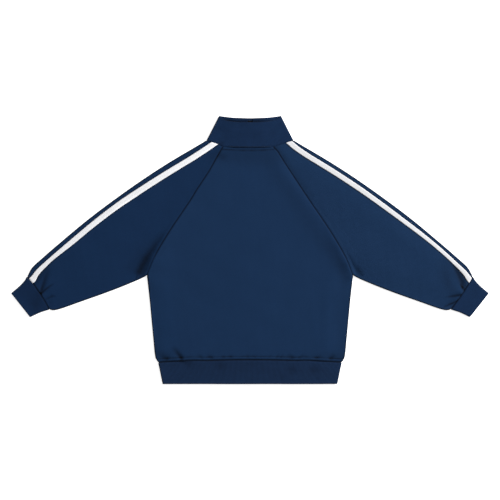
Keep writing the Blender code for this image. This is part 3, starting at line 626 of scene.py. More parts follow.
def points_of(mesh, what="vertices", key="co"):
    """A mesh's points in metres, or its normals, as rows of three."""
    values = np.empty(len(getattr(mesh, what)) * 3, np.float32)
    getattr(mesh, what).foreach_get(key, values)
    return values.reshape(-1, 3)


def move_points(mesh, spots):
    mesh.vertices.foreach_set("co", spots.ravel())
    mesh.update()


# How much further left the cloth lies by the tops of both raglan seams: along the upper part of
# the left one, counted in eighths of that part, and round the corner of the right one.
LEFT_EASE = ((0, 1.5, 3.5, 6.5, 8), (4.0, 3.8, 1.4, 1.4, 0))
LEFT_EASE_REACH = 9.0
RIGHT_EASE = 3.5
RIGHT_EASE_REACH = 7.0


def ease(mesh):
    """Moves a mesh's points by the tops of both raglan seams to where they lie."""
    spots = points_of(mesh)
    plan = spots[:, :2].astype(float) / MM
    away, place, _ = to_path(plan, mirrored(raglan(np.linspace(0, 0.42, 9)), "left"))
    left = np.interp(place, *LEFT_EASE) * np.exp(-((away / LEFT_EASE_REACH) ** 2))
    from_corner = np.sum((plan - RAGLAN_TOP) ** 2, axis=1)
    right = RIGHT_EASE * np.exp(-from_corner / RIGHT_EASE_REACH ** 2)
    spots[:, 0] -= (left + right) * MM
    move_points(mesh, spots)


def add_piece(name, mesh, finish, body="jacket"):
    """Puts a mesh into the scene in its finish, riding on one of the jacket's bodies."""
    ease(mesh)
    piece = bpy.data.objects.new(name, mesh)
    bpy.context.scene.collection.objects.link(piece)
    mesh.materials.clear()
    mesh.materials.append(finish)
    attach(piece, body)
    return piece


def add_relief(mesh, raised):
    """Moves a sheet's points out along their normals by `raised` of their places, in mm."""
    spots = points_of(mesh) / MM
    normals = points_of(mesh, "vertex_normals", "vector")
    moved = spots + normals * raised(spots, normals)[:, None]
    moved[:, 2] = np.maximum(moved[:, 2], 0.0)
    move_points(mesh, moved * MM)


def thicken(piece, thickness):
    """Gives a sheet its thickness on the inner side and leaves a plain mesh."""
    wall = piece.modifiers.new("thickness", "SOLIDIFY")
    wall.thickness = thickness * MM
    wall.offset = -1.0
    wall.use_even_offset = False
    graph = bpy.context.evaluated_depsgraph_get()
    made = bpy.data.meshes.new_from_object(
        piece.evaluated_get(graph), preserve_all_data_layers=True, depsgraph=graph)
    piece.modifiers.clear()
    sheet, name = piece.data, piece.data.name
    piece.data = made
    bpy.data.meshes.remove(sheet)
    made.name = name
    spots = points_of(made)
    spots[:, 2] = np.maximum(spots[:, 2], 0.0)
    move_points(made, spots)


def trimmed(edge, beside):
    """A row of edge points moved a little past the seam line, square to the edge."""
    tangent = unit(np.gradient(edge, axis=0))
    inward = beside - edge
    inward -= tangent * np.sum(tangent * inward, axis=1)[:, None]
    return edge - unit(inward) * JOIN


# ---------------------------------------------------------------- grids of the pieces
def sleeve_plan(at, share):
    """Plan points of a sleeve, from its top fold (share 0) to its under fold (share 1)."""
    folds = sleeve_folds(at)
    straight = folds[..., :2] + (folds[..., 2:] - folds[..., :2]) * share[..., None]
    on_neck = neck_side(np.minimum(share / NECK_SHARE, 1.0))
    on_raglan = raglan(np.maximum((share - NECK_SHARE) / (1 - NECK_SHARE), 0.0))
    seam = np.where((share <= NECK_SHARE)[..., None], on_neck, on_raglan)
    chord = np.array(NECK_POINT) + (np.array(UNDERARM) - np.array(NECK_POINT)) * share[..., None]
    return straight + (seam - chord) * (smooth((at - 0.5) / 0.5) ** 1.5)[..., None]


LEAST_SQUARE = 0.6      # the least that a row is taken to cross its fold squarely


def fold_shares(at, under):
    """Share of a sleeve's width that half a fold's height takes, along the sleeve."""
    column = slice(2, 4) if under else slice(0, 2)
    edge, step = (1.0, -0.01) if under else (0.0, 0.01)
    across = (sleeve_plan(at, np.full_like(at, edge + step))
              - sleeve_plan(at, np.full_like(at, edge)))
    low, high = np.maximum(at - 0.01, 0.0), np.minimum(at + 0.01, 1.0)
    along = unit(sleeve_folds(high)[..., column] - sleeve_folds(low)[..., column])
    length = np.linalg.norm(across, axis=-1)
    square = np.abs(across[..., 0] * along[..., 1] - across[..., 1] * along[..., 0]) / length
    return JERSEY_FOLD / 2 / np.maximum(square, LEAST_SQUARE) / (length / abs(step))


def bowed(spots, ends, bow, share):
    """Plan points across a cuff, bowed up the arm in the middle."""
    across = ends[1] - ends[0]
    up_arm = unit(np.stack([across[..., 1], -across[..., 0]], axis=-1))
    return spots + up_arm * (bow * 4 * share * (1 - share))[..., None]


def sleeve_spots(side, at, share):
    """Plan points on a sleeve put on the +X side, bowed like its cuff seam near the cuff."""
    ends = sleeve_plan(at, np.zeros_like(at)), sleeve_plan(at, np.ones_like(at))
    bow = CUFF_BOW[side] * (1 - smooth(at / 0.12))
    return bowed(sleeve_plan(at, share), ends, bow, share)


def round_tube(plan, fold, top_reach, under_reach, height, upper, lower, depth=None):
    """A grid round a flattened tube, from its under fold over the upper layer and back underneath.

    plan takes shares across for every row. The reaches are the shares that half the fold's height
    takes. upper and lower are each row's shares on the flat, from the top fold to the under fold,
    and depth is how far inside the outer side each row lies.
    """
    rows = len(top_reach)
    depth = np.zeros(rows) if depth is None else depth
    keep = (1 - 2 * depth / fold)[:, None]
    top, under = top_reach[:, None], under_reach[:, None]
    half, cos, sin = fold / 2, np.cos(ARC), np.sin(ARC)
    under_side, top_side = 1 - under * (1 - keep * cos), top * (1 - keep * cos)
    up, down = half * (1 + keep * sin), half * (1 - keep * sin)

    blocks = [
        (under_side[:, :-1], up[:, :-1]),
        (upper[:, ::-1], None),
        (top_side[:, -2::-1], up[:, -2::-1]),
        (top_side[:, 1:-1], down[:, 1:-1]),
        (lower, "floor"),
        (under_side[:, -2:0:-1], down[:, -2:0:-1]),
    ]
    made = []
    for shares, z in blocks:
        spots = plan(shares)
        if z is None:
            z = height(spots) - depth[:, None]
        elif isinstance(z, str):
            z = depth[:, None] * np.ones(shares.shape)
        made.append(at_height(spots, z))
    top_column = (len(ARC) - 1) + upper.shape[1] + (len(ARC) - 1) - 1
    return np.concatenate(made, axis=1), top_column


def flat_shares(top, under, count, corner=NECK_SHARE):
    """Each row's shares from fold to fold, with one on the corner of the neck seam and raglan."""
    first = max(round(count * corner), 3)
    to_corner = np.linspace(top, corner, first, endpoint=False, axis=1)
    beyond = np.linspace(np.full_like(under, corner), 1 - under, count - first, axis=1)
    return np.concatenate([to_corner, beyond], axis=1)


def sleeve_grid(side):
    """A sleeve's grid from cuff to raglan, and the column that lies on its top fold."""
    at = spread(SLEEVE_LENGTH, CLOTH_STEP)
    top, under = fold_shares(at, False), fold_shares(at, True)

    def plan(share):
        return sleeve_spots(side, np.broadcast_to(at[:, None], share.shape).copy(), share)

    upper, lower = flat_shares(top, under, 92), flat_shares(top, under, 46)
    grid, middle = round_tube(plan, JERSEY_FOLD, top, under, top_height, upper, lower)
    grid[0], grid[-1] = trimmed(grid[0], grid[1]), trimmed(grid[-1], grid[-2])
    return mirrored(grid, side), middle


def folded_edge(length, step, inside):
    """Rows along a doubled rib from its seam, over its folded edge and back inside.

    Gives each row's share of the length and how deep it lies inside the outer side.
    """
    radius = RIB / 2
    flat = spread(length, step) * (1 - radius / length)
    turn = np.radians(np.linspace(0, 180, 9)[1:])
    back = np.linspace(0, inside, max(round(inside / step), 2))[1:]
    shares = np.concatenate([flat, flat[-1] + radius * np.sin(turn) / length,
                             flat[-1] - back / length])
    depths = np.concatenate([0 * flat, radius * (1 - np.cos(turn)), np.full(len(back), RIB)])
    return shares, depths


def cuff_grid(side):
    """A cuff's grid from the sleeve, over its folded edge and back inside, and its top column."""
    at, depth = folded_edge(CUFF_LENGTH, step=2.2, inside=12.0)
    folds = cuff_folds(at)[:, None]
    top, under = folds[..., :2], folds[..., 2:]

    def plan(share):
        spots = top + (under - top) * share[..., None]
        bow = CUFF_BOW[side] * ((1 - at) ** 2)[:, None]
        return bowed(spots, (top, under), bow, share)

    def height(spots):
        return np.full(spots.shape[:-1], RIB_FOLD)

    reach = RIB_FOLD / 2 / np.linalg.norm(under - top, axis=-1)[:, 0]
    shares = flat_shares(reach, reach, 64)
    grid, middle = round_tube(plan, RIB_FOLD, reach, reach, height, shares, shares, depth)
    grid[0] = trimmed(grid[0], grid[1])
    return mirrored(grid, side), middle


def body_outline(neck_y, inner_x):
    """The body's rows from the hem seam to the neck: side end, reach of its fold, inner end.

    The fold closes up where it runs into the sleeve's at the underarm.
    """
    at = spread(SIDE_LENGTH, CLOTH_STEP, end=False)
    side = body_side(at)
    inner_y = side[:, 1] + (hem_seam(inner_x) - hem_seam(side[:, 0])) * (1 - at) ** 2
    start = 1 - fold_shares(np.ones(1), True)[0]
    share = start - (start - NECK_SHARE) * spread(RAGLAN_LENGTH, CLOTH_STEP, start=False)
    seam = sleeve_plan(np.ones_like(share), share)
    rise = (seam[:, 1] - UNDERARM[1]) / (RAGLAN_TOP[1] - UNDERARM[1])
    seam_y = UNDERARM[1] + (neck_y - UNDERARM[1]) * rise
    outer = np.concatenate([side, seam])
    inner = np.column_stack([np.full(len(outer), inner_x), np.concatenate([inner_y, seam_y])])
    fold = np.repeat([JERSEY_FOLD / 2, UNDERARM_FOLD, 0.0], [len(side), 1, len(seam) - 1])
    return outer, fold, inner


def body_half(neck_y, inner_x, top, neck_line, step):
    """A grid of one half of a body panel on the +X side, from its side seam to its inner edge."""
    outer, reach, inner = body_outline(neck_y, inner_x)
    span = np.linalg.norm(inner - outer, axis=1)
    half = JERSEY_FOLD / 2
    start = (reach / span)[:, None]
    flat = start + (1 - start) * spread(HALF_BODY, step, end=inner_x > 0)[None, :]
    fold = start * (1 - np.cos(ARC[:-1]))[None, :]
    share = np.concatenate([fold, flat], axis=1)
    drop = (inner - outer)[:, None, :]
    spots = outer[:, None, :] + drop * share[..., None]
    spots[..., 1] += drop[..., 1] * share * (1 - share)
    spots[-1, len(ARC) - 1:] = neck_line(flat[-1])
    height = top_height(spots) if top else np.zeros(share.shape)
    turn = half * np.sin(ARC[:-1])
    height[:, :len(turn)] = half + turn if top else half - turn
    grid = at_height(spots, height)
    count = len(turn)
    low = np.count_nonzero(reach)
    grid[0] = trimmed(grid[0], grid[1])
    grid[-1, count:] = trimmed(grid[-1, count:], grid[-2, count:])
    grid[:low, 0] = trimmed(grid[:low, 0], grid[:low, 1])
    grid[low:, count] = trimmed(grid[low:, count], grid[low:, count + 1])
    grid[low:, :count] = np.nan
    return grid


def both_halves(half):
    """A grid of the whole piece from one half's, which ends on the centre line."""
    return np.concatenate([mirrored(half, "left"), half[:, -2::-1]], axis=1)


def mixed(a, b, t):
    """Plan points part of the way from one line's points to another's, for every row."""
    t = np.asarray(t)[:, None, None]
    return a[None] * (1 - t) + b[None] * t


def band_half(lower, upper, fold, floor, height, depth, lower_steps, upper_steps):
    """A grid of half a flattened band, from its front edge round the fold to its centre back.

    lower and upper give plan points for shares from the fold (0) to the centre (1), row by row.
    """
    keep = (1 - 2 * depth / fold)[:, None]
    half, cos, sin = fold / 2, np.cos(ARC), np.sin(ARC)
    blocks = []
    for plan, steps, side in ((lower, lower_steps, -1), (upper, upper_steps, 1)):
        ends = plan(np.array([0.0, 1.0]))
        reach = (half / np.linalg.norm(ends[:, 1] - ends[:, 0], axis=-1))[:, None]
        turn = plan_rows(plan, reach * (1 - keep * cos[:-1]))
        turn_z = half * (1 + side * keep * sin[:-1])
        flat = plan_rows(plan, reach + (1 - reach) * steps[None, :])
        flat_z = (floor(flat) + depth[:, None]) if side < 0 else (height(flat) - depth[:, None])
        blocks.append(np.concatenate([at_height(turn, turn_z), at_height(flat, flat_z)], axis=1))
    return np.concatenate([blocks[0][:, :0:-1], blocks[1]], axis=1)


def plan_rows(plan, shares):
    """Points of every row's own plan line at that row's own shares."""
    dense = np.linspace(0.0, 1.0, 201)
    lines = plan(dense)
    made = np.empty(shares.shape + (2,))
    for row, share in enumerate(shares):
        for axis in (0, 1):
            made[row, :, axis] = np.interp(share, dense, lines[row, :, axis])
    return made


COLLAR_UP = (0, 1 / 3, 2 / 3, 1)        # shares of the collar's length that the next two are at
COLLAR_LIFT = (0.0, 0.0, 1.6, 1.6)      # of the front collar off the surface
COLLAR_RISE = (1.0, 1.8, 3.5, 3.5)      # of the back collar off its fold
FRONT_STAND = 3.4                       # how far the front collar's edge stands up
HEM_RISE = (1.6, 1.4)                   # of the back hem band off its fold, down from its seam


def joined(first, second, share, at):
    """Two lines end to end, read at shares of the whole, the first one taking `share` of it."""
    return np.where((at <= share)[:, None], first(np.minimum(at / share, 1.0)),
                    second(np.maximum((at - share) / (1 - share), 0.0)))


def collar_grid():
    """The stand collar's grid, from its seam over its folded upper edge and back inside."""
    up, depth = folded_edge(COLLAR_LENGTH, step=2.4, inside=30.0)
    lift = np.interp(up, COLLAR_UP, COLLAR_LIFT)[:, None]
    rise = np.interp(up, COLLAR_UP, COLLAR_RISE)[:, None]

    def ply(neck, edge):
        return lambda at: mixed(joined(neck_side, neck, COLLAR_SEAM_SHARE, at), edge(at), up)

    def floor(spots):
        stand = FRONT_STAND * smooth((up[:, None] - 0.80) / 0.13)
        return (lift * fading(spots[..., 0], 18.0, 45.0)
                + stand * fading(spots[..., 0], 30.0, 58.0))

    def height(spots):
        return RIB_FOLD + rise * fading(spots[..., 0], 15.0, 70.0)

    steps = np.concatenate([np.linspace(0, COLLAR_SEAM_SHARE, 18, endpoint=False),
                            np.linspace(COLLAR_SEAM_SHARE, 1, 26)])
    half = band_half(ply(front_neck, collar_front_edge), ply(back_neck, collar_back_edge),
                     RIB_FOLD, floor, height, depth, steps, steps)
    half[0] = trimmed(half[0], half[1])
    return both_halves(half)


def hem_grid():
    """The hem band's grid, from its seam over its folded lower edge and back inside."""
    down, depth = folded_edge(HEM_LENGTH, step=2.3, inside=9.0)
    rise = np.interp(down, (0, 1), HEM_RISE)[:, None]
    side = BODY_SIDE[0][1] + (HEM_BOTTOM_X - BODY_SIDE[0][1]) * down

    def across(inner):
        def plan(at):
            x = side[:, None] + (inner - side[:, None]) * at[None, :]
            y = hem_seam(x) + (HEM_BOTTOM - hem_seam(x)) * down[:, None]
            return np.stack([x, y], axis=-1)
        return plan

    def floor(spots):
        return np.zeros(spots.shape[:-1])

    def height(spots):
        return RIB_FOLD + rise * fading(spots[..., 0], 80.0, 170.0)

    half = band_half(across(FRONT_EDGE), across(0.0), RIB_FOLD, floor, height, depth,
                     np.linspace(0, 1, 52), np.linspace(0, 1, 76))
    half[0] = trimmed(half[0], half[1])
    return both_halves(half)


def tape_spots(side, at, across):
    """Plan points on a tape, on the +X side: at shares of its length and shares across it."""
    rows = tapes[side](at)
    per_mm = fold_shares(at, False) / (JERSEY_FOLD / 2)
    share = (rows[:, :1] + rows[:, 1:] * across[None, :]) * per_mm[:, None]
    return sleeve_spots(side, np.broadcast_to(at[:, None], share.shape).copy(), share)


def tape_grid(side):
    """A white tape's grid from the cuff to the collar, on the sleeve before its creases."""
    spots = tape_spots(side, spread(SLEEVE_LENGTH, CLOTH_STEP), np.linspace(0, 1, 9))
    grid = at_height(spots, top_height(spots))
    grid[0], grid[-1] = trimmed(grid[0], grid[1]), trimmed(grid[-1], grid[-2])
    return mirrored(grid, side)


# ---------------------------------------------------------------- each piece's seams
def back_neck_path():
    right = back_neck(np.linspace(0, 1, 9))
    return np.concatenate([mirrored(right, "left"), right[-2::-1]])


def collar_base(front):
    """The collar's whole seam on the back or on one front, from fold to fold."""
    right = np.concatenate([neck_side(np.linspace(0, 1, 9)),
                            (front_neck if front else back_neck)(np.linspace(0, 1, 9))[1:]])
    return np.concatenate([mirrored(right, "left"), right[::-1]])


def tape_edge_path(side, across):
    """A line along a tape, at a share across it, beyond 0 and 1 for beside its edges."""
    return mirrored(tape_spots(side, np.linspace(0, 1, 33), np.array([across]))[:, 0], side)


RAGLANS = [Seam(seam_path(raglan, side), 0.5, 1.4, 0.2, 4.0, None, 0.85) for side in SIDES]


def zip_edge_path(side):
    """Where one front, with its share of the collar and the hem band, meets the zip."""
    return mirrored([(FRONT_EDGE, HEM_BOTTOM), (FRONT_EDGE, COLLAR_TIP[1])], side)


ZIP_EDGES = [Seam(zip_edge_path(side), 0.3, 1.2, 0.0, 3.0, ZIP_STITCH, 0.3) for side in SIDES]
SEAMS = {
    "back": [*RAGLANS,
             Seam(back_neck_path(), 0.35, 1.4, 0.2, 3.0, NECK_STITCH, 0.12),
             Seam(hem_seam_path(), 0.4, 1.8, 0.1, 3.4, HEM_STITCH, 0.8)],
    "front": [*RAGLANS, *ZIP_EDGES,
              *[Seam(seam_path(front_neck, side), 1.0, 1.5, 0.0, 3.0, FRONT_NECK_STITCH, 0.3)
                for side in SIDES],
              Seam(hem_seam_path(), 1.0, 1.6, 0.0, 3.0, HEM_STITCH, 0.5)],
    "collar": [Seam(collar_base(False), 0.6, 1.5, 0.2, 3.5, None, 0.10)],
    "under_collar": [*ZIP_EDGES, Seam(collar_base(True), 1.0, 1.5, 0.0, 3.0, None, 0.3)],
    "under_hem": [*ZIP_EDGES, Seam(hem_seam_path(), 1.5, 1.8, 0.3, 4.0, None, 0.5)],
    "hem_rib": [Seam(hem_seam_path(), 1.5, 1.9, 0.2, 4.5, None, 0.8)],
}
for wearer_side, raglan_seam in zip(SIDES, RAGLANS):
    cuff_seam = Seam(cuff_seam_path(wearer_side), 0.7, 1.4, 0.1, 4.0, None, 0.65)
    SEAMS["sleeve_" + wearer_side] = [
        raglan_seam._replace(dip=0.2, width=1.2, dark=0.7),
        Seam(seam_path(neck_side, wearer_side), 0.6, 1.5, 0.2, 3.5, None, 0.15),
        cuff_seam,
        # painted shadow on the sleeve along both edges of its tape
        *[Seam(tape_edge_path(wearer_side, edge), 0.0, 1.2, 0.0, 3.0, None, 0.5)
          for edge in (-0.07, 1.07)]]
    SEAMS["cuff_" + wearer_side] = [cuff_seam._replace(dip=0.6)]


FOLD_REACH = 4.0        # how far in from a fold the creases start
RIB_UNEVEN = 0.35       # how uneven rib is against jersey
FACING_UP = -0.2        # what the normals of a piece's upper side are above


def relief(seams, creases, rib=False):
    """A function of a layer's plan points that gives how far its cloth is raised, in mm."""
    def raised(spots):
        bend = smooth(fold_distance(spots) / FOLD_REACH)
        soft = RIB_UNEVEN if rib else 1.0
        depth = creased(spots, CREASES.get(creases, ())) * settings().creasing
        return (seamed(spots, SEAMS[seams]) + bend * (soft * uneven(spots) - depth)
                + FOLD_OUT * (1 - bend))
    return raised


def two_layers(upper, lower):
    """The relief of a piece with a top layer and one underneath, told apart by their normals."""
    def raised(spots, normals):
        plan = spots[:, :2].astype(float)
        return np.where(normals[:, 2] > FACING_UP, upper(plan), lower(plan))
    return raised


def top_surface(raised, base=top_height):
    """Height of a piece's finished outer side at plan points."""
    return lambda spots: base(spots) + raised(spots)


def store(mesh, name, values):
    """Keeps one number for each point, which a finish reads by its name."""
    mesh.attributes.new(name, "FLOAT", "POINT").data.foreach_set("value",
                                                                 values.astype(np.float32))


def darkened(spots, name):
    """How much painted shade darkens a layer in its seams, topstitching, outline folds and
    hollows, less where its rows paint light.
    """
    dark = np.zeros(len(spots))
    for seam in SEAMS[name]:
        away = to_path(spots, seam.path)[0]
        dark = np.maximum(dark, seam.dark * np.exp(-((away / seam.width) ** 2)))
        if seam.stitch:
            # painted shade in the topstitching's groove, uneven from stitch to stitch
            pull = 0.75 + 0.25 * np.sin(spots[:, 0] / 4.3 + 2.0 * np.sin(spots[:, 0] / 17.0))
            dark = np.maximum(dark, STITCH_DARK * pull
                              * np.exp(-(((away - seam.stitch) / 1.0) ** 2)))
    # painted shade round the outline, where the cloth turns under
    if name in ("back", "sleeve_left", "sleeve_right"):
        from_fold = fold_distance(spots) / FOLD_DARK_REACH
        dark = np.maximum(dark, FOLD_DARK * np.exp(-(from_fold ** 2)))
    return dark + creased(spots, SHADES.get(name, ()))


def mark_painted_shade(mesh, upper, lower):
    """Stores each point's painted shade from the seams, folds and hollows of its layer, and how
    far the cloth turns over, for painted shade at the folds.
    """
    spots = (points_of(mesh)[:, :2] / MM).astype(float)
    turn = points_of(mesh, "vertex_normals", "vector")[:, 2]
    store(mesh, "seam", np.where(turn > FACING_UP, darkened(spots, upper), darkened(spots, lower)))
    store(mesh, "fold", smooth(2.2 * (1 - np.abs(turn))))


# ---------------------------------------------------------------- finishes
class Value:
    """A number that varies over a surface. Expressions on it add Math nodes to its material."""

    def __init__(self, finish, socket):
        self.finish, self.socket = finish, socket

    def math(self, operation, *others):
        inputs = {i: other for i, other in enumerate((self, *others))}
        node = self.finish.node("ShaderNodeMath", {"operation": operation}, inputs)
        return Value(self.finish, node.outputs[0])

    def __add__(self, other):
        return self.math("ADD", other)

    __radd__ = __add__

    def __mul__(self, other):
        return self.math("MULTIPLY", other)

    __rmul__ = __mul__

    def __sub__(self, other):
        return self.math("SUBTRACT", other)

    def __rsub__(self, other):
        return self.math("MULTIPLY", -1.0) + other

    def __pow__(self, other):
        return self.math("POWER", other)

    def __abs__(self):
        return self.math("ABSOLUTE")

    def sin(self):
        return self.math("SINE")


class Finish:
    """A material with one surface shader."""

    def __init__(self, name, **constants):
        self.material = bpy.data.materials.new(name)
        self.material.use_nodes = True
        self.tree = self.material.node_tree
        self.tree.nodes.clear()
        self.shader = self.node("ShaderNodeBsdfPrincipled")
        self.node("ShaderNodeOutputMaterial", inputs={"Surface": self.shader.outputs["BSDF"]})
        self.surface(**constants)

    def node(self, kind, settings=None, inputs=None):
        made = self.tree.nodes.new(kind)
        for name, value in (settings or {}).items():
            setattr(made, name, value)
        self.set(made, inputs or {})
        return made

    def set(self, node, inputs):
        """Sets a node's sockets to values, or links them to other sockets."""
        for key, value in inputs.items():
            socket = value.socket if isinstance(value, Value) else value
            if isinstance(socket, bpy.types.NodeSocket):
                self.tree.links.new(socket, node.inputs[key])
            else:
                node.inputs[key].default_value = socket

    def surface(self, **inputs):
        """Sets the shader's sockets by their names, in small letters."""
        self.set(self.shader, {name.replace("_", " ").title().replace("Ior", "IOR"): value
                               for name, value in inputs.items()})
        return self.material

    def cloth(self):
        """Place on the cloth in metres: across its wales and along them."""
        place = self.node("ShaderNodeUVMap", {"uv_map": "cloth"})
        parts = self.node("ShaderNodeSeparateXYZ", inputs={"Vector": place.outputs["UV"]})
        return Value(self, parts.outputs["X"]), Value(self, parts.outputs["Y"])

    def noise(self, scale, detail=2.0, roughness=0.5, stretch=(1, 1, 1)):
        """Soft noise about 0, with `scale` blotches to the metre."""
        place = self.node("ShaderNodeTexCoord").outputs["Object"]
        vector = self.node("ShaderNodeVectorMath", {"operation": "MULTIPLY"},
                           {0: place, 1: stretch})
        made = self.node("ShaderNodeTexNoise", inputs={
            "Vector": vector.outputs[0], "Scale": scale, "Detail": detail, "Roughness": roughness})
        return Value(self, made.outputs["Fac"]) - 0.5

    def attribute(self, name):
        made = self.node("ShaderNodeAttribute", {"attribute_name": name})
        return Value(self, made.outputs["Fac"])

    def shaded(self, colour, shade):
        """A colour made lighter or darker by a value."""
        node = self.node("ShaderNodeVectorMath", {"operation": "SCALE"},
                         {"Vector": tuple(colour), "Scale": shade})
        return node.outputs["Vector"]

    def bump(self, height, distance, strength=1.0):
        node = self.node("ShaderNodeBump",
                         inputs={"Height": height, "Distance": distance, "Strength": strength})
        return node.outputs["Normal"]


FOLD_SHADE = 0.62        # painted shade: how much darker cloth is where it is folded right over
LIGHT_AND_BATCH_TINTS = {               # red, green and blue against the colour that is set; on the sleeves, cuffs and tapes, painted light and shade
    "back": (1.0, 1.0, 1.0), "front": (1.0, 1.0, 1.0),
    "sleeve_left": (0.77, 0.87, 0.92), "sleeve_right": (1.05, 1.02, 1.0),
    "cuff_left": (0.81, 0.90, 0.95), "cuff_right": (0.96, 0.98, 1.0),
    "collar": (1.0, 1.0, 1.02), "hem_rib": (1.20, 1.0, 0.97),
    "tape_left": (1.02, 1.01, 1.0), "tape_right": (0.80, 0.79, 0.78),
}


def tinted(colour, piece):
    """A colour changed for one piece: the left sleeve and cuff and the right tape painted darker
    and the right sleeve lighter, as painted shade and light, and the hem band and collar in their
    own batch of cloth.
    """
    return [part * share for part, share in zip(colour, LIGHT_AND_BATCH_TINTS[piece])]


def jersey_finish(name, piece):
    """Smooth double-knit jersey."""
    finish = Finish(name, sheen_weight=0.06, sheen_roughness=0.45,
                    sheen_tint=(0.75, 0.85, 1.0, 1.0), specular_ior_level=0.08)
    across, along = finish.cloth()
    wale = (across * (2 * pi / settings().wale)).sin()
    course = (along * (2 * pi / (1.3 * settings().wale))).sin()
    fuzz = finish.noise(1500.0, 3.0, 0.6)
    grain = finish.noise(420.0, 2.0)
    cloud = finish.noise(22.0, 3.0)
    # The seam and fold attributes paint shade into the colour, in seams, topstitching, hollows and
    # folds.
    shade = (1.0 + 0.05 * wale + 0.20 * fuzz + 0.16 * grain + 0.10 * cloud
             - finish.attribute("seam") - FOLD_SHADE * finish.attribute("fold"))
    height = 0.5 * wale + 0.25 * wale * course + 0.8 * fuzz + 0.5 * grain
    colour = tinted(settings().jersey_colour, piece)
    return finish.surface(base_color=finish.shaded(colour, shade),
                          roughness=0.82 + 0.12 * fuzz - 0.10 * cloud,
                          normal=finish.bump(height, 0.00010))


def rib_finish(name, piece):
    """One-by-one rib knit, with painted shade down between its ribs."""
    finish = Finish(name, sheen_weight=0.05, sheen_roughness=0.5,
                    sheen_tint=(0.8, 0.85, 1.0, 1.0), specular_ior_level=0.08)
    across, along = finish.cloth()
    # the ridge both raises the ribs and paints shade into the furrows between them
    ridge = abs((across * (pi / settings().rib_pitch)).sin()) ** 0.7
    loops = (along * (2 * pi / 0.0013)).sin()
    fuzz = finish.noise(1500.0, 3.0, 0.6)
    cloud = finish.noise(55.0, 3.0, 0.6)
    # The seam and fold attributes paint shade into the colour, in seams, hollows and folds.
    shade = (0.80 + 0.28 * ridge + 0.20 * fuzz + 0.26 * cloud
             - finish.attribute("seam") - FOLD_SHADE * finish.attribute("fold"))
    height = ridge + 0.15 * loops * ridge + 0.2 * fuzz
    return finish.surface(base_color=finish.shaded(tinted(settings().rib_colour, piece), shade),
                          roughness=0.86 + 0.10 * fuzz,
                          normal=finish.bump(height, 0.0004))


def tape_finish(name, piece):
    """Flat white woven tape with a fine ribbed weave across it, with a painted highlight along its
    edges.
    """
    finish = Finish(name, specular_ior_level=0.3, sheen_weight=0.1)
    across, along = finish.cloth()
    weft = (along * (2 * pi / 0.0008)).sin()
    warp = (across * (2 * pi / 0.0010)).sin()
    fuzz = finish.noise(1800.0, 2.0)
    cloud = finish.noise(60.0, 2.0)
    # painted highlight: lighter along both edges than in the middle
    edge = abs(across * (2 / 0.0104) - 1.0) ** 3.0
    shade = 0.95 + 0.06 * edge + 0.03 * weft * warp + 0.05 * fuzz + 0.03 * cloud
    colour = tinted(settings().tape_colour, piece)
    return finish.surface(base_color=finish.shaded(colour, shade),
                          roughness=0.66 + 0.15 * fuzz,
                          normal=finish.bump(weft + 0.6 * warp + 0.4 * fuzz, 0.00003))


def thread_finish(name, colour):
    """Sewing thread, with its twist."""
    finish = Finish(name, specular_ior_level=0.15)
    twist = finish.noise(2600.0, 1.0, stretch=(1, 1, 3))
    return finish.surface(base_color=finish.shaded(colour, 1.0 + 0.25 * twist),
                          roughness=0.75 + 0.2 * twist,
                          normal=finish.bump(twist, 0.00008))


def zip_tape_finish():
    """Woven zip tape, with its herringbone."""
    finish = Finish("navy_zip_tape", specular_ior_level=0.1, sheen_weight=0.05)
    across, along = finish.cloth()
    zigzag = abs((across * (pi / 0.0026)).sin()) * 0.0012
    weave = ((along + zigzag) * (2 * pi / 0.0008)).sin()
    fuzz = finish.noise(1500.0, 2.0)
    # The seam attribute paints the shadow under the back collar's edge into the colour.
    return finish.surface(
        base_color=finish.shaded(settings().rib_colour, 0.85 + 0.12 * weave + 0.2 * fuzz
                                 - finish.attribute("seam")),
        roughness=0.7 + 0.15 * fuzz, normal=finish.bump(weave + 0.5 * fuzz, 0.00008))


def nylon_finish():
    """Navy nylon of the zip's teeth, a little polished where they rub."""
    finish = Finish("navy_nylon", specular_ior_level=0.5)
    rub = finish.noise(260.0, 3.0)
    return finish.surface(base_color=finish.shaded(settings().rib_colour, 1.5 + 0.6 * rub),
                          roughness=0.38 + 0.25 * rub, normal=finish.bump(rub, 0.00005))


def metal_finish():
    """Dark nickel plating, brushed and lightly scratched by wear."""
    finish = Finish("dark_nickel", specular_ior_level=0.5)
    brushed = finish.noise(900.0, 2.0, stretch=(1, 0.05, 1))
    marks = finish.noise(350.0, 4.0, 0.7)
    return finish.surface(base_color=finish.shaded(settings().metal_colour, 1.0 + 0.5 * marks),
                          metallic=0.95 + 0.05 * marks,
                          roughness=0.30 + 0.25 * brushed + 0.2 * marks,
                          normal=finish.bump(brushed + marks, 0.00003))


def floor_finish():
    finish = Finish("pale_floor", specular_ior_level=0.2)
    grain = finish.noise(3.0, 2.0)
    return finish.surface(base_color=finish.shaded((0.93, 0.93, 0.93), 1.0 + 0.01 * grain),
                          emission_color=(1.0, 1.0, 1.0, 1.0), emission_strength=FLOOR_GLOW,
                          roughness=0.85)


def finish_of(name, make, *details):
    """A finish that several pieces share, made the first time that it is asked for."""
    return bpy.data.materials.get(name) or make(*details)


KNITS = {               # for each slot: its finishes' name, how they are made, thickness of a ply
    "jersey": ("navy_jersey_", jersey_finish, JERSEY),
    "rib": ("navy_rib_", rib_finish, RIB_PLY),
}


def declare(piece, node, cut, slot, under, **others):
    """Hides the solid that a sheet stands for; the sheet, what it was cut to, its slot, what it
    lies on and any other pieces are not used.
    """
    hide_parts(node)


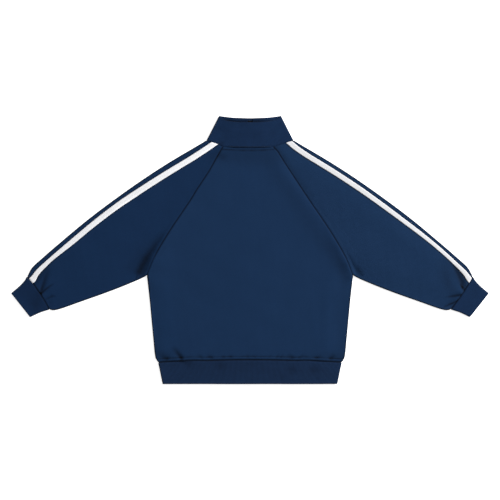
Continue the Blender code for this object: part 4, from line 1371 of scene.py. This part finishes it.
def lay_sheet(node, cut, slot, grid, layers, under=("floor",), **mesh_options):
    """One piece of cloth in place of its solid: its sheet, its relief and its thickness.

    layers names the seams and the creases of its upper side, then those of its lower side.
    """
    knit, make, ply = KNITS[slot]
    cloth = node if node in LIGHT_AND_BATCH_TINTS else cut
    mesh = grid_mesh(node + "_cloth", sewn_unevenly(grid), **mesh_options)
    mark_painted_shade(mesh, *[seams for seams, _ in layers])
    add_relief(mesh, two_layers(*[relief(*layer, rib=slot == "rib") for layer in layers]))
    finish = finish_of(knit + cloth, make, knit + cloth, cloth)
    piece = add_piece(node + "_cloth", mesh, finish)
    thicken(piece, ply)
    declare(piece, node, cut, slot, list(under))


def lay_back():
    grid = both_halves(body_half(NECK_Y, 0.0, top=True, neck_line=back_neck, step=2.7))
    lay_sheet("back", "back", "jersey", grid, [("back", "back"), ("back", "under_back")],
              under=["front_left_cloth", "front_right_cloth"], middle=grid.shape[1] // 2)


def lay_front(side):
    grid = mirrored(body_half(FRONT_ROWS_Y, FRONT_EDGE, top=False, neck_line=front_neck,
                              step=4.0), side)
    lay_sheet("front_" + side, "front", "jersey", grid, [("front", "under_front")] * 2,
              flip=side == "left", middle=grid.shape[1] - 1)


def lay_sleeve(side):
    grid, middle = sleeve_grid(side)
    name = "sleeve_" + side
    lay_sheet(name, "sleeve", "jersey", grid, [(name, name), (name, "under_" + name)],
              closed=True, flip=side == "left", middle=middle)


def lay_cuff(side):
    grid, middle = cuff_grid(side)
    name = "cuff_" + side
    lay_sheet(name, "cuff", "rib", grid, [(name, name)] * 2,
              closed=True, flip=side == "right", middle=middle, ribs=True)


def lay_collar():
    grid = collar_grid()
    lay_sheet("collar", "collar", "rib", grid,
              [("collar", "collar"), ("under_collar", "under_collar")],
              middle=grid.shape[1] // 2, ribs=True)


def lay_hem():
    grid = hem_grid()
    lay_sheet("hem_rib", "hem_rib", "rib", grid,
              [("hem_rib", "hem_rib"), ("under_hem", "under_hem")],
              flip=True, middle=grid.shape[1] // 2, ribs=True)


def lay_tape(side):
    """A sleeve's white tape, a little crowned, on the sleeve's finished surface."""
    name, sleeve = "tape_" + side, "sleeve_" + side
    grid = tape_grid(side)
    across = np.linspace(-1, 1, grid.shape[1])
    crown = TAPE_LIFT + TAPE_THICK - TAPE_CROWN * np.abs(across) ** 4
    mesh = grid_mesh(name + "_cloth", grid, flip=side == "right", middle=0)
    spots = points_of(mesh) / MM
    spots[:, 2] += relief(sleeve, sleeve)(spots[:, :2].astype(float)) + np.tile(crown, len(grid))
    move_points(mesh, spots * MM)
    mark_painted_shade(mesh, sleeve, sleeve)
    finish = "white_woven_" + name
    piece = add_piece(name + "_cloth", mesh, finish_of(finish, tape_finish, finish, name))
    thicken(piece, TAPE_THICK)
    declare(piece, name, name, "white_tape", [sleeve + "_cloth"])


# ---------------------------------------------------------------- zip
ZIP_RUN = (             # from the hem up: y, height of the tape's middle
    (-262.0, 2.9), (-215.5, 2.9), (-205.0, 2.3), (186.0, 2.3), (196.0, 2.9), (218.9, 2.9),
    (241.2, 4.5), (253.5, 4.5), (255.5, 4.95), (257.0, 5.63), (258.5, 6.25), (264.0, 6.4))
ZIP_INNER = (           # y, centre line to the tape's inner edge
    (-262.0, 4.3), (-256.2, 4.3), (-255.6, 0.7), (250.4, 0.7), (251.0, 1.5), (255.4, 1.5),
    (255.9, -0.6), (264.0, -0.6))
ZIP_TAPE = 0.6
ZIP_BEND = 254.0        # y where the tape starts to turn over into the collar
ZIP_LAP = 0.35          # how far one tape's end rises over the other's there
ZIP_TAPE_EDGE = 14.0    # centre line to the tape's outer edge
COIL = (-255.2, 250.4)  # where the teeth start and end
COIL_PITCH = 2.0
COIL_POINTS = 14        # round each turn
COIL_ACROSS = (-0.42, 2.5)      # from past the centre line to the tape's stitching
COIL_HALF = 1.08        # half its height
COIL_THREAD = 0.38      # radius of the bent nylon
SLIDER = (0.0, 250.0, 4.5)      # its middle
PLATE = 0.9


SIDES_ROUND = 6         # of threads and of the coil's nylon


def rings_round(ahead, upright):
    """Offsets of the points of a ring 1 mm in radius, square to each of a list of directions."""
    ahead = unit(ahead)
    beside = unit(np.cross(ahead, upright))
    over = np.cross(beside, ahead)
    angle = 2 * pi * np.arange(SIDES_ROUND) / SIDES_ROUND
    return (np.cos(angle)[None, :, None] * beside[:, None]
            + np.sin(angle)[None, :, None] * over[:, None])


def zip_middle(y):
    return np.interp(y, *np.array(ZIP_RUN).T)


def tube_mesh(name, path, radius):
    """A tube along a path of points in mm, with closed ends."""
    rings = path[:, None] + radius * rings_round(np.gradient(path, axis=0), (0.0, 1.0, 0.0))
    i, j = np.meshgrid(np.arange(len(path) - 1), np.arange(SIDES_ROUND), indexing="ij")
    i, j = i.ravel() * SIDES_ROUND, j.ravel()
    k = (j + 1) % SIDES_ROUND
    above = i + SIDES_ROUND
    faces = np.stack([i + j, i + k, above + k, above + j], axis=1).tolist()
    first, last = range(SIDES_ROUND), (len(path) - 1) * SIDES_ROUND
    faces += [list(first)[::-1], [last + n for n in first]]
    return plain_mesh(name, rings.reshape(-1, 3), faces)


def coil_mesh(name, side):
    """The zip's teeth on one side: one nylon coil, half a turn ahead of the other side's."""
    turns = (COIL[1] - COIL[0]) / COIL_PITCH - 0.5
    turn = np.arange(0, turns, 1 / COIL_POINTS)
    inner, outer = COIL_ACROSS
    reach = (outer - inner) / 2 - COIL_THREAD
    y = COIL[0] + COIL_PITCH * (turn + (0.5 if side == "left" else 0.0))
    angle = 2 * pi * turn
    x = (inner + outer) / 2 + reach * np.sign(np.cos(angle)) * np.abs(np.cos(angle)) ** 0.8
    z = zip_middle(y) + (COIL_HALF - COIL_THREAD) * np.sin(angle)
    return tube_mesh(name, mirrored(np.column_stack([x, y, z]), side), COIL_THREAD)


def lay_zip_tape(side):
    """One side of the zip: its tape and the teeth on the tape's inner edge."""
    inner_y, inner_x = np.array(ZIP_INNER).T
    y = np.unique(np.concatenate([np.arange(ZIP_RUN[0][0], ZIP_BEND, 2.0), inner_y,
                                  np.linspace(ZIP_BEND, ZIP_RUN[-1][0], 13)]))
    edge = np.interp(y, inner_y, inner_x)
    across = np.linspace(0, 1, 11)
    x = edge[:, None] + (ZIP_TAPE_EDGE - edge[:, None]) * across[None, :]
    lap = (ZIP_LAP if side == "left" else -ZIP_LAP) * smooth((y - ZIP_BEND + 1.0) / 3.0)
    z = (zip_middle(y) - ZIP_TAPE / 2)[:, None] + lap[:, None] * fading(x, 1.0, 5.0)
    grid = mirrored(np.stack([x, np.broadcast_to(y[:, None], x.shape), z], axis=-1), side)
    mesh = grid_mesh("zip_tape_" + side, grid, flip=side == "right")
    tape = add_piece("zip_tape_" + side, mesh, finish_of("navy_zip_tape", zip_tape_finish))
    thicken(tape, ZIP_TAPE)
    # painted shadow on the tape's upper side, in the gap under the back collar's edge
    facing = points_of(tape.data, "vertex_normals", "vector")[:, 2] > 0.3
    shade = creased(points_of(tape.data)[:, :2] / MM, SHADES["collar"])
    store(tape.data, "seam", facing * shade)
    teeth = add_piece("zip_teeth_" + side, coil_mesh("zip_teeth_" + side, side),
                      finish_of("navy_nylon", nylon_finish))
    declare(tape, "zip_stringer_" + side, "zip_tape", "zip_tape", ["front_" + side + "_cloth"],
            with_pieces=[teeth])


def rounded(corners, radius, steps=4):
    """A flat outline with its corners rounded."""
    corners = [Vector(corner) for corner in corners]
    made = []
    for i, corner in enumerate(corners):
        back = (corners[i - 1] - corner).normalized()
        ahead = (corners[(i + 1) % len(corners)] - corner).normalized()
        half = back.angle(ahead) / 2
        centre = corner + (back + ahead).normalized() * radius / sin(half)
        start, end = corner + back * radius / tan(half), corner + ahead * radius / tan(half)
        for k in range(steps + 1):
            way = (start - centre).lerp(end - centre, k / steps).normalized()
            made.append(centre + way * radius)
    return made


def add_slab(shape, loops, low, high, edge, place=lambda a, b, c: (a, b, c)):
    """Adds a flat outline, with the holes after it, between two heights, with softened edges."""
    flat = [Vector((a, b, 0.0)) for loop in loops for a, b in loop]
    rings = [[shape.verts.new(Vector(place(point.x, point.y, height)) * MM) for point in flat]
             for height in (low, high)]
    caps = tessellate_polygon([[Vector((a, b, 0.0)) for a, b in loop] for loop in loops])
    faces = [shape.faces.new([ring[i] for i in cap]) for ring in rings for cap in caps]
    start = 0
    for loop in loops:
        for i in range(len(loop)):
            a, b = start + i, start + (i + 1) % len(loop)
            faces.append(shape.faces.new([rings[0][a], rings[0][b], rings[1][b], rings[1][a]]))
        start += len(loop)
    bmesh.ops.recalc_face_normals(shape, faces=faces)
    rims = dict.fromkeys(rim for face in faces[2 * len(caps):] for rim in face.edges
                         if any(len(other.verts) == 3 for other in rim.link_faces))
    bmesh.ops.bevel(shape, geom=list(rims), offset=edge * MM, segments=2, profile=0.5,
                    affect="EDGES", clamp_overlap=True)


def box_loop(x, y_low, y_high):
    return ((-x, y_low), (x, y_low), (x, y_high), (-x, y_high))


def add_metal(name, node, shape, body="jacket"):
    mesh = bpy.data.meshes.new(name)
    shape.to_mesh(mesh)
    shape.free()
    mesh.shade_smooth()
    piece = add_piece(name, mesh, finish_of("dark_nickel", metal_finish), body)
    sharp = piece.modifiers.new("edges", "WEIGHTED_NORMAL")
    sharp.keep_sharp = True
    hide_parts(node)
    return piece


def add_slider():
    """Two plates with turned-in flanges, the wedge between them and the bridge under them."""
    shape = bmesh.new()
    _, y, z = SLIDER
    low, high = z - 1.4, z + 1.4
    plan = rounded([(-4.4, y + 5.5), (-4.4, y - 1.5), (-3.3, y - 5.5), (3.3, y - 5.5),
                    (4.4, y - 1.5), (4.4, y + 5.5)], 1.1)
    for bottom in (low - PLATE, high):
        add_slab(shape, [plan], bottom, bottom + PLATE, 0.25)
    for side in (-1, 1):
        flange = rounded([(side * 3.55, y - 1.5), (side * 4.3, y - 1.5), (side * 4.3, y + 3.6),
                          (side * 3.55, y + 3.6)], 0.3, 2)
        for bottom in (low - 0.2, high - 0.75):
            add_slab(shape, [flange], bottom, bottom + 0.95, 0.12)
    wedge = rounded([(-1.0, y + 5.1), (0.0, y + 1.9), (1.0, y + 5.1)], 0.25, 3)
    add_slab(shape, [wedge], low - 0.3, high + 0.3, 0.05)
    bridge = rounded([(y - 3.5, 2.6), (y - 3.5, 0.3), (y + 3.5, 0.3), (y + 3.5, 2.6),
                      (y + 2.5, 2.6), (y + 2.5, 1.0), (y - 2.5, 1.0), (y - 2.5, 2.6)], 0.3, 3)
    add_slab(shape, [bridge], -0.6, 0.6, 0.15, lambda a, b, c: (c, a, b))
    return add_metal("zip_slider_metal", "zip_slider", shape)


def add_pull():
    """The pull tab, with the eye that takes the slider's bridge and a slot at its tip."""
    shape = bmesh.new()
    plan = rounded([(-2.2, 251.4), (-3.0, 244.0), (-3.0, 229.0), (3.0, 229.0), (3.0, 244.0),
                    (2.2, 251.4)], 1.0)
    eye = rounded(box_loop(1.2, 246.0, 250.6), 0.5, 3)
    slot = rounded(box_loop(1.3, 231.2, 240.0), 1.1)
    add_slab(shape, [plan, eye, slot], 1.2, 2.0, 0.18)
    return add_metal("zip_pull_tab", "zip_pull", shape, "pull")


def add_bottom_box():
    """The box that the zip's pin goes into, with grip ridges on its face."""
    shape = bmesh.new()
    add_slab(shape, [rounded(box_loop(4.0, -262.0, -256.0), 0.9)], 1.5, 4.3, 0.4)
    for y in (-260.4, -259.0, -257.6):
        add_slab(shape, [rounded(box_loop(2.9, y - 0.3, y + 0.3), 0.25, 2)], 1.3, 1.8, 0.1)
    return add_metal("zip_box_metal", "zip_box", shape)


# ---------------------------------------------------------------- stitching
THREAD = 0.24           # radius
STITCH_STATIONS = (     # share along the stitch, share of the radius, height over the cloth
    (0.0, 0.0, -0.30), (0.13, 0.8, -0.03), (0.5, 1.0, 0.06), (0.87, 0.8, -0.03), (1.0, 0.0, -0.30))
STITCH_SHOWN = 0.84     # share of its pitch that a stitch covers
TAPE_STITCH = 1.3       # tape's edge to its stitching
TAPE_SEWN = TAPE_LIFT + TAPE_THICK - 0.24       # height over the sleeve that it is sewn at
TAPE_END = 0.987        # share of the tape's length that the stitches across it are at


def stitch_points(path, surface, out):
    """The stations of every stitch along a plan path, on a surface; out is 1 on top, -1 below."""
    reach = np.concatenate([[0], np.cumsum(np.linalg.norm(np.diff(path, axis=0), axis=1))])
    count = max(round(reach[-1] * MM / settings().stitch), 1)
    shares, _, heights = np.array(STITCH_STATIONS).T
    gap = (1 - STITCH_SHOWN) / 2
    places = (np.arange(count)[:, None] + gap + shares[None, :] * STITCH_SHOWN) * reach[-1] / count
    spots = np.stack([np.interp(places, reach, path[:, axis]) for axis in (0, 1)], axis=-1)
    return at_height(spots, surface(spots) + out * heights[None, :])


def stitches_mesh(name, runs):
    """Short lengths of thread along every run."""
    points = np.concatenate([stitch_points(*run) for run in runs])
    sizes = THREAD * np.array(STITCH_STATIONS)[1:-1, 1]
    around = rings_round(points[:, -1] - points[:, 0], (0.0, 0.0, 1.0))
    rings = points[:, 1:-1, None] + sizes[None, :, None, None] * around[:, None]
    count, middle = len(points), rings.shape[1]
    sides = SIDES_ROUND
    each = middle * sides + 2
    vertices = np.concatenate([points[:, :1], rings.reshape(count, -1, 3), points[:, -1:]], axis=1)
    j = np.arange(sides)
    k = (j + 1) % sides
    quads = [np.stack([1 + r * sides + j, 1 + r * sides + k, 1 + (r + 1) * sides + k,
                       1 + (r + 1) * sides + j], axis=1) for r in range(middle - 1)]
    last = 1 + (middle - 1) * sides
    ends = [np.stack([0 * j, 1 + k, 1 + j], axis=1),
            np.stack([0 * j + each - 1, last + j, last + k], axis=1)]
    first = (np.arange(count) * each)[:, None, None]
    faces = []
    for block in (np.concatenate(quads), *ends):
        faces += (first + block[None]).reshape(-1, block.shape[1]).tolist()
    return plain_mesh(name, vertices.reshape(-1, 3), faces)


def beneath(raised):
    """Height of the outer side of a layer that lies underneath."""
    return lambda spots: np.maximum(-raised(spots), 0.0)


def sew(name, runs, thread, colour):
    finish = finish_of(thread, thread_finish, thread, colour)
    add_piece(name, stitches_mesh(name, runs), finish)


def sew_body():
    """Topstitching beside the neck seam, the hem seam and the zip."""
    back = top_surface(relief("back", "back"))
    front = beneath(relief("front", "under_front"))
    hem = beneath(relief("under_hem", "under_hem", True))
    neck_x = np.linspace(-RAGLAN_TOP[0] - 1.5, RAGLAN_TOP[0] + 1.5, 40)
    across = np.linspace(-BODY_SIDE[0][1] + 4.0, BODY_SIDE[0][1] - 4.0, 120)
    neck_y = np.interp(np.abs(neck_x), *np.array(BACK_NECK[::-1]).T)
    runs = [(np.column_stack([neck_x, neck_y - NECK_STITCH]), back, 1),
            (np.column_stack([across, hem_seam(across) + HEM_STITCH]), back, 1)]
    for side in SIDES:
        share = np.linspace(0.06, 0.97, 24)
        neck = front_neck(share) - np.array([0.0, FRONT_NECK_STITCH])
        half = across[across > FRONT_EDGE + ZIP_STITCH]
        x = FRONT_EDGE + ZIP_STITCH
        runs += [(mirrored(neck, side), front, -1),
                 (mirrored(np.column_stack([half, hem_seam(half) + HEM_STITCH]), side), front, -1),
                 (mirrored([(x, HEM_SEAM + 1.0), (x, FRONT_NECK_Y - 1.5)], side), front, -1),
                 (mirrored([(x, HEM_BOTTOM + 2.5), (x, HEM_SEAM - 1.0)], side), hem, -1)]
    # the navy thread is painted at half the jersey's colour, as painted shade in the
    # topstitching's groove
    sew("body_stitching", runs, "navy_thread", [0.5 * part for part in settings().jersey_colour])


def sew_tapes():
    """A row of stitches along each edge of both tapes and across their upper ends."""
    runs = []
    at = np.linspace(0.004, 0.996, 160)
    for side in SIDES:
        sleeve = relief("sleeve_" + side, "sleeve_" + side)
        tape = top_surface(sleeve, lambda spots: top_height(spots) + TAPE_SEWN)
        width = tapes[side](at)[:, 1]
        for edge in (0, 1):
            across = np.abs(edge - TAPE_STITCH / width)
            spots = np.concatenate([tape_spots(side, at[i:i + 1], across[i:i + 1])[0]
                                    for i in range(len(at))])
            runs.append((mirrored(spots, side), tape, 1))
        end = tape_spots(side, np.array([TAPE_END]), np.linspace(0.1, 0.9, 5))[0]
        runs.append((mirrored(end, side), tape, 1))
    sew("tape_stitching", runs, "white_thread", settings().tape_colour)


# ---------------------------------------------------------------- stage
KEY_LIGHT = (3.6, 2.2, 2.9)     # where it stands, in metres
KEY_LIGHT_SIZE = 2.0
KEY_LIGHT_POWER = 382.0
WORLD_STRENGTH = 0.305
FLOOR_GLOW = 0.75
FLOOR_HALF = 4.0
FLOOR_Z = -0.0003               # just under the stitches of the jacket's underside
CAMERA_LENS = 100.0             # mm
CAMERA_SPAN = 1.0               # width that the camera sees at the cloth
CAMERA_AT = (0.0, 0.0006, 0.003)


def add_floor():
    mesh = bpy.data.meshes.new("floor")
    corners = [(x * FLOOR_HALF, y * FLOOR_HALF, FLOOR_Z)
               for x, y in ((-1, -1), (1, -1), (1, 1), (-1, 1))]
    mesh.from_pydata(corners, [], [(0, 1, 2, 3)])
    mesh.materials.append(finish_of("pale_floor", floor_finish))
    floor = bpy.data.objects.new("floor", mesh)
    bpy.context.scene.collection.objects.link(floor)


def add_lights():
    data = bpy.data.lights.new("key_light", "AREA")
    data.shape, data.size, data.energy = "DISK", KEY_LIGHT_SIZE, KEY_LIGHT_POWER
    light = bpy.data.objects.new("key_light", data)
    light.location = KEY_LIGHT
    light.rotation_euler = (-light.location).to_track_quat("-Z", "Y").to_euler()
    bpy.context.scene.collection.objects.link(light)
    world = bpy.data.worlds.new("soft_room")
    world.use_nodes = True
    sky = world.node_tree.nodes["Background"]
    sky.inputs["Color"].default_value = (1.0, 1.0, 1.0, 1.0)
    sky.inputs["Strength"].default_value = WORLD_STRENGTH
    bpy.context.scene.world = world


def add_camera():
    data = bpy.data.cameras.new("camera")
    data.lens, data.sensor_width = CAMERA_LENS, 36.0
    camera = bpy.data.objects.new("camera", data)
    x, y, z = CAMERA_AT
    camera.location = x, y, z + CAMERA_SPAN * data.lens / data.sensor_width
    bpy.context.scene.collection.objects.link(camera)
    bpy.context.scene.camera = camera
    bpy.context.scene.view_settings.view_transform = "Standard"


# ---------------------------------------------------------------- operators
class JACKET_OT_stage(bpy.types.Operator):
    """Add the floor, the lights and the camera"""
    bl_idname = "jacket.stage"
    bl_label = "Stage"

    def execute(self, context):
        add_floor()
        add_lights()
        add_camera()
        return {"FINISHED"}


class JACKET_OT_body(bpy.types.Operator):
    """Lay the back over the two fronts"""
    bl_idname = "jacket.body"
    bl_label = "Back and Fronts"

    def execute(self, context):
        for side in SIDES:
            lay_front(side)
        lay_back()
        return {"FINISHED"}


class JACKET_OT_sleeves(bpy.types.Operator):
    """Lay the two raglan sleeves with their tapes"""
    bl_idname = "jacket.sleeves"
    bl_label = "Sleeves"

    def execute(self, context):
        for side in SIDES:
            lay_sleeve(side)
            lay_tape(side)
        return {"FINISHED"}


class JACKET_OT_ribs(bpy.types.Operator):
    """Lay the collar, the cuffs and the hem band"""
    bl_idname = "jacket.ribs"
    bl_label = "Ribs"

    def execute(self, context):
        for side in SIDES:
            lay_cuff(side)
        lay_collar()
        lay_hem()
        return {"FINISHED"}


class JACKET_OT_zip(bpy.types.Operator):
    """Set in the zip: its tapes, teeth, slider, pull tab and bottom box"""
    bl_idname = "jacket.zip"
    bl_label = "Zip"

    def execute(self, context):
        for side in SIDES:
            lay_zip_tape(side)
        add_slider()
        add_pull()
        add_bottom_box()
        return {"FINISHED"}


class JACKET_OT_stitching(bpy.types.Operator):
    """Sew the topstitching and the tapes' stitches"""
    bl_idname = "jacket.stitching"
    bl_label = "Stitching"

    def execute(self, context):
        sew_body()
        sew_tapes()
        return {"FINISHED"}


OPERATORS = (JACKET_OT_stage, JACKET_OT_body, JACKET_OT_sleeves, JACKET_OT_ribs, JACKET_OT_zip,
             JACKET_OT_stitching)


class JACKET_PT_panel(bpy.types.Panel):
    bl_label = "Track Jacket"
    bl_space_type = "VIEW_3D"
    bl_region_type = "UI"
    bl_category = "Jacket"

    def draw(self, context):
        for name in JacketSettings.__annotations__:
            self.layout.prop(context.scene.track_jacket, name)
        for operator in OPERATORS:
            self.layout.operator(operator.bl_idname)


CLASSES = (JacketSettings, *OPERATORS, JACKET_PT_panel)


def register():
    for made in CLASSES:
        bpy.utils.register_class(made)
    bpy.types.Scene.track_jacket = PointerProperty(type=JacketSettings)


def unregister():
    del bpy.types.Scene.track_jacket
    for made in reversed(CLASSES):
        bpy.utils.unregister_class(made)


def main():
    register()
    bpy.ops.jacket.stage()
    bpy.ops.jacket.body()
    bpy.ops.jacket.sleeves()
    bpy.ops.jacket.ribs()
    bpy.ops.jacket.zip()
    bpy.ops.jacket.stitching()


if __name__ == "__main__":
    main()
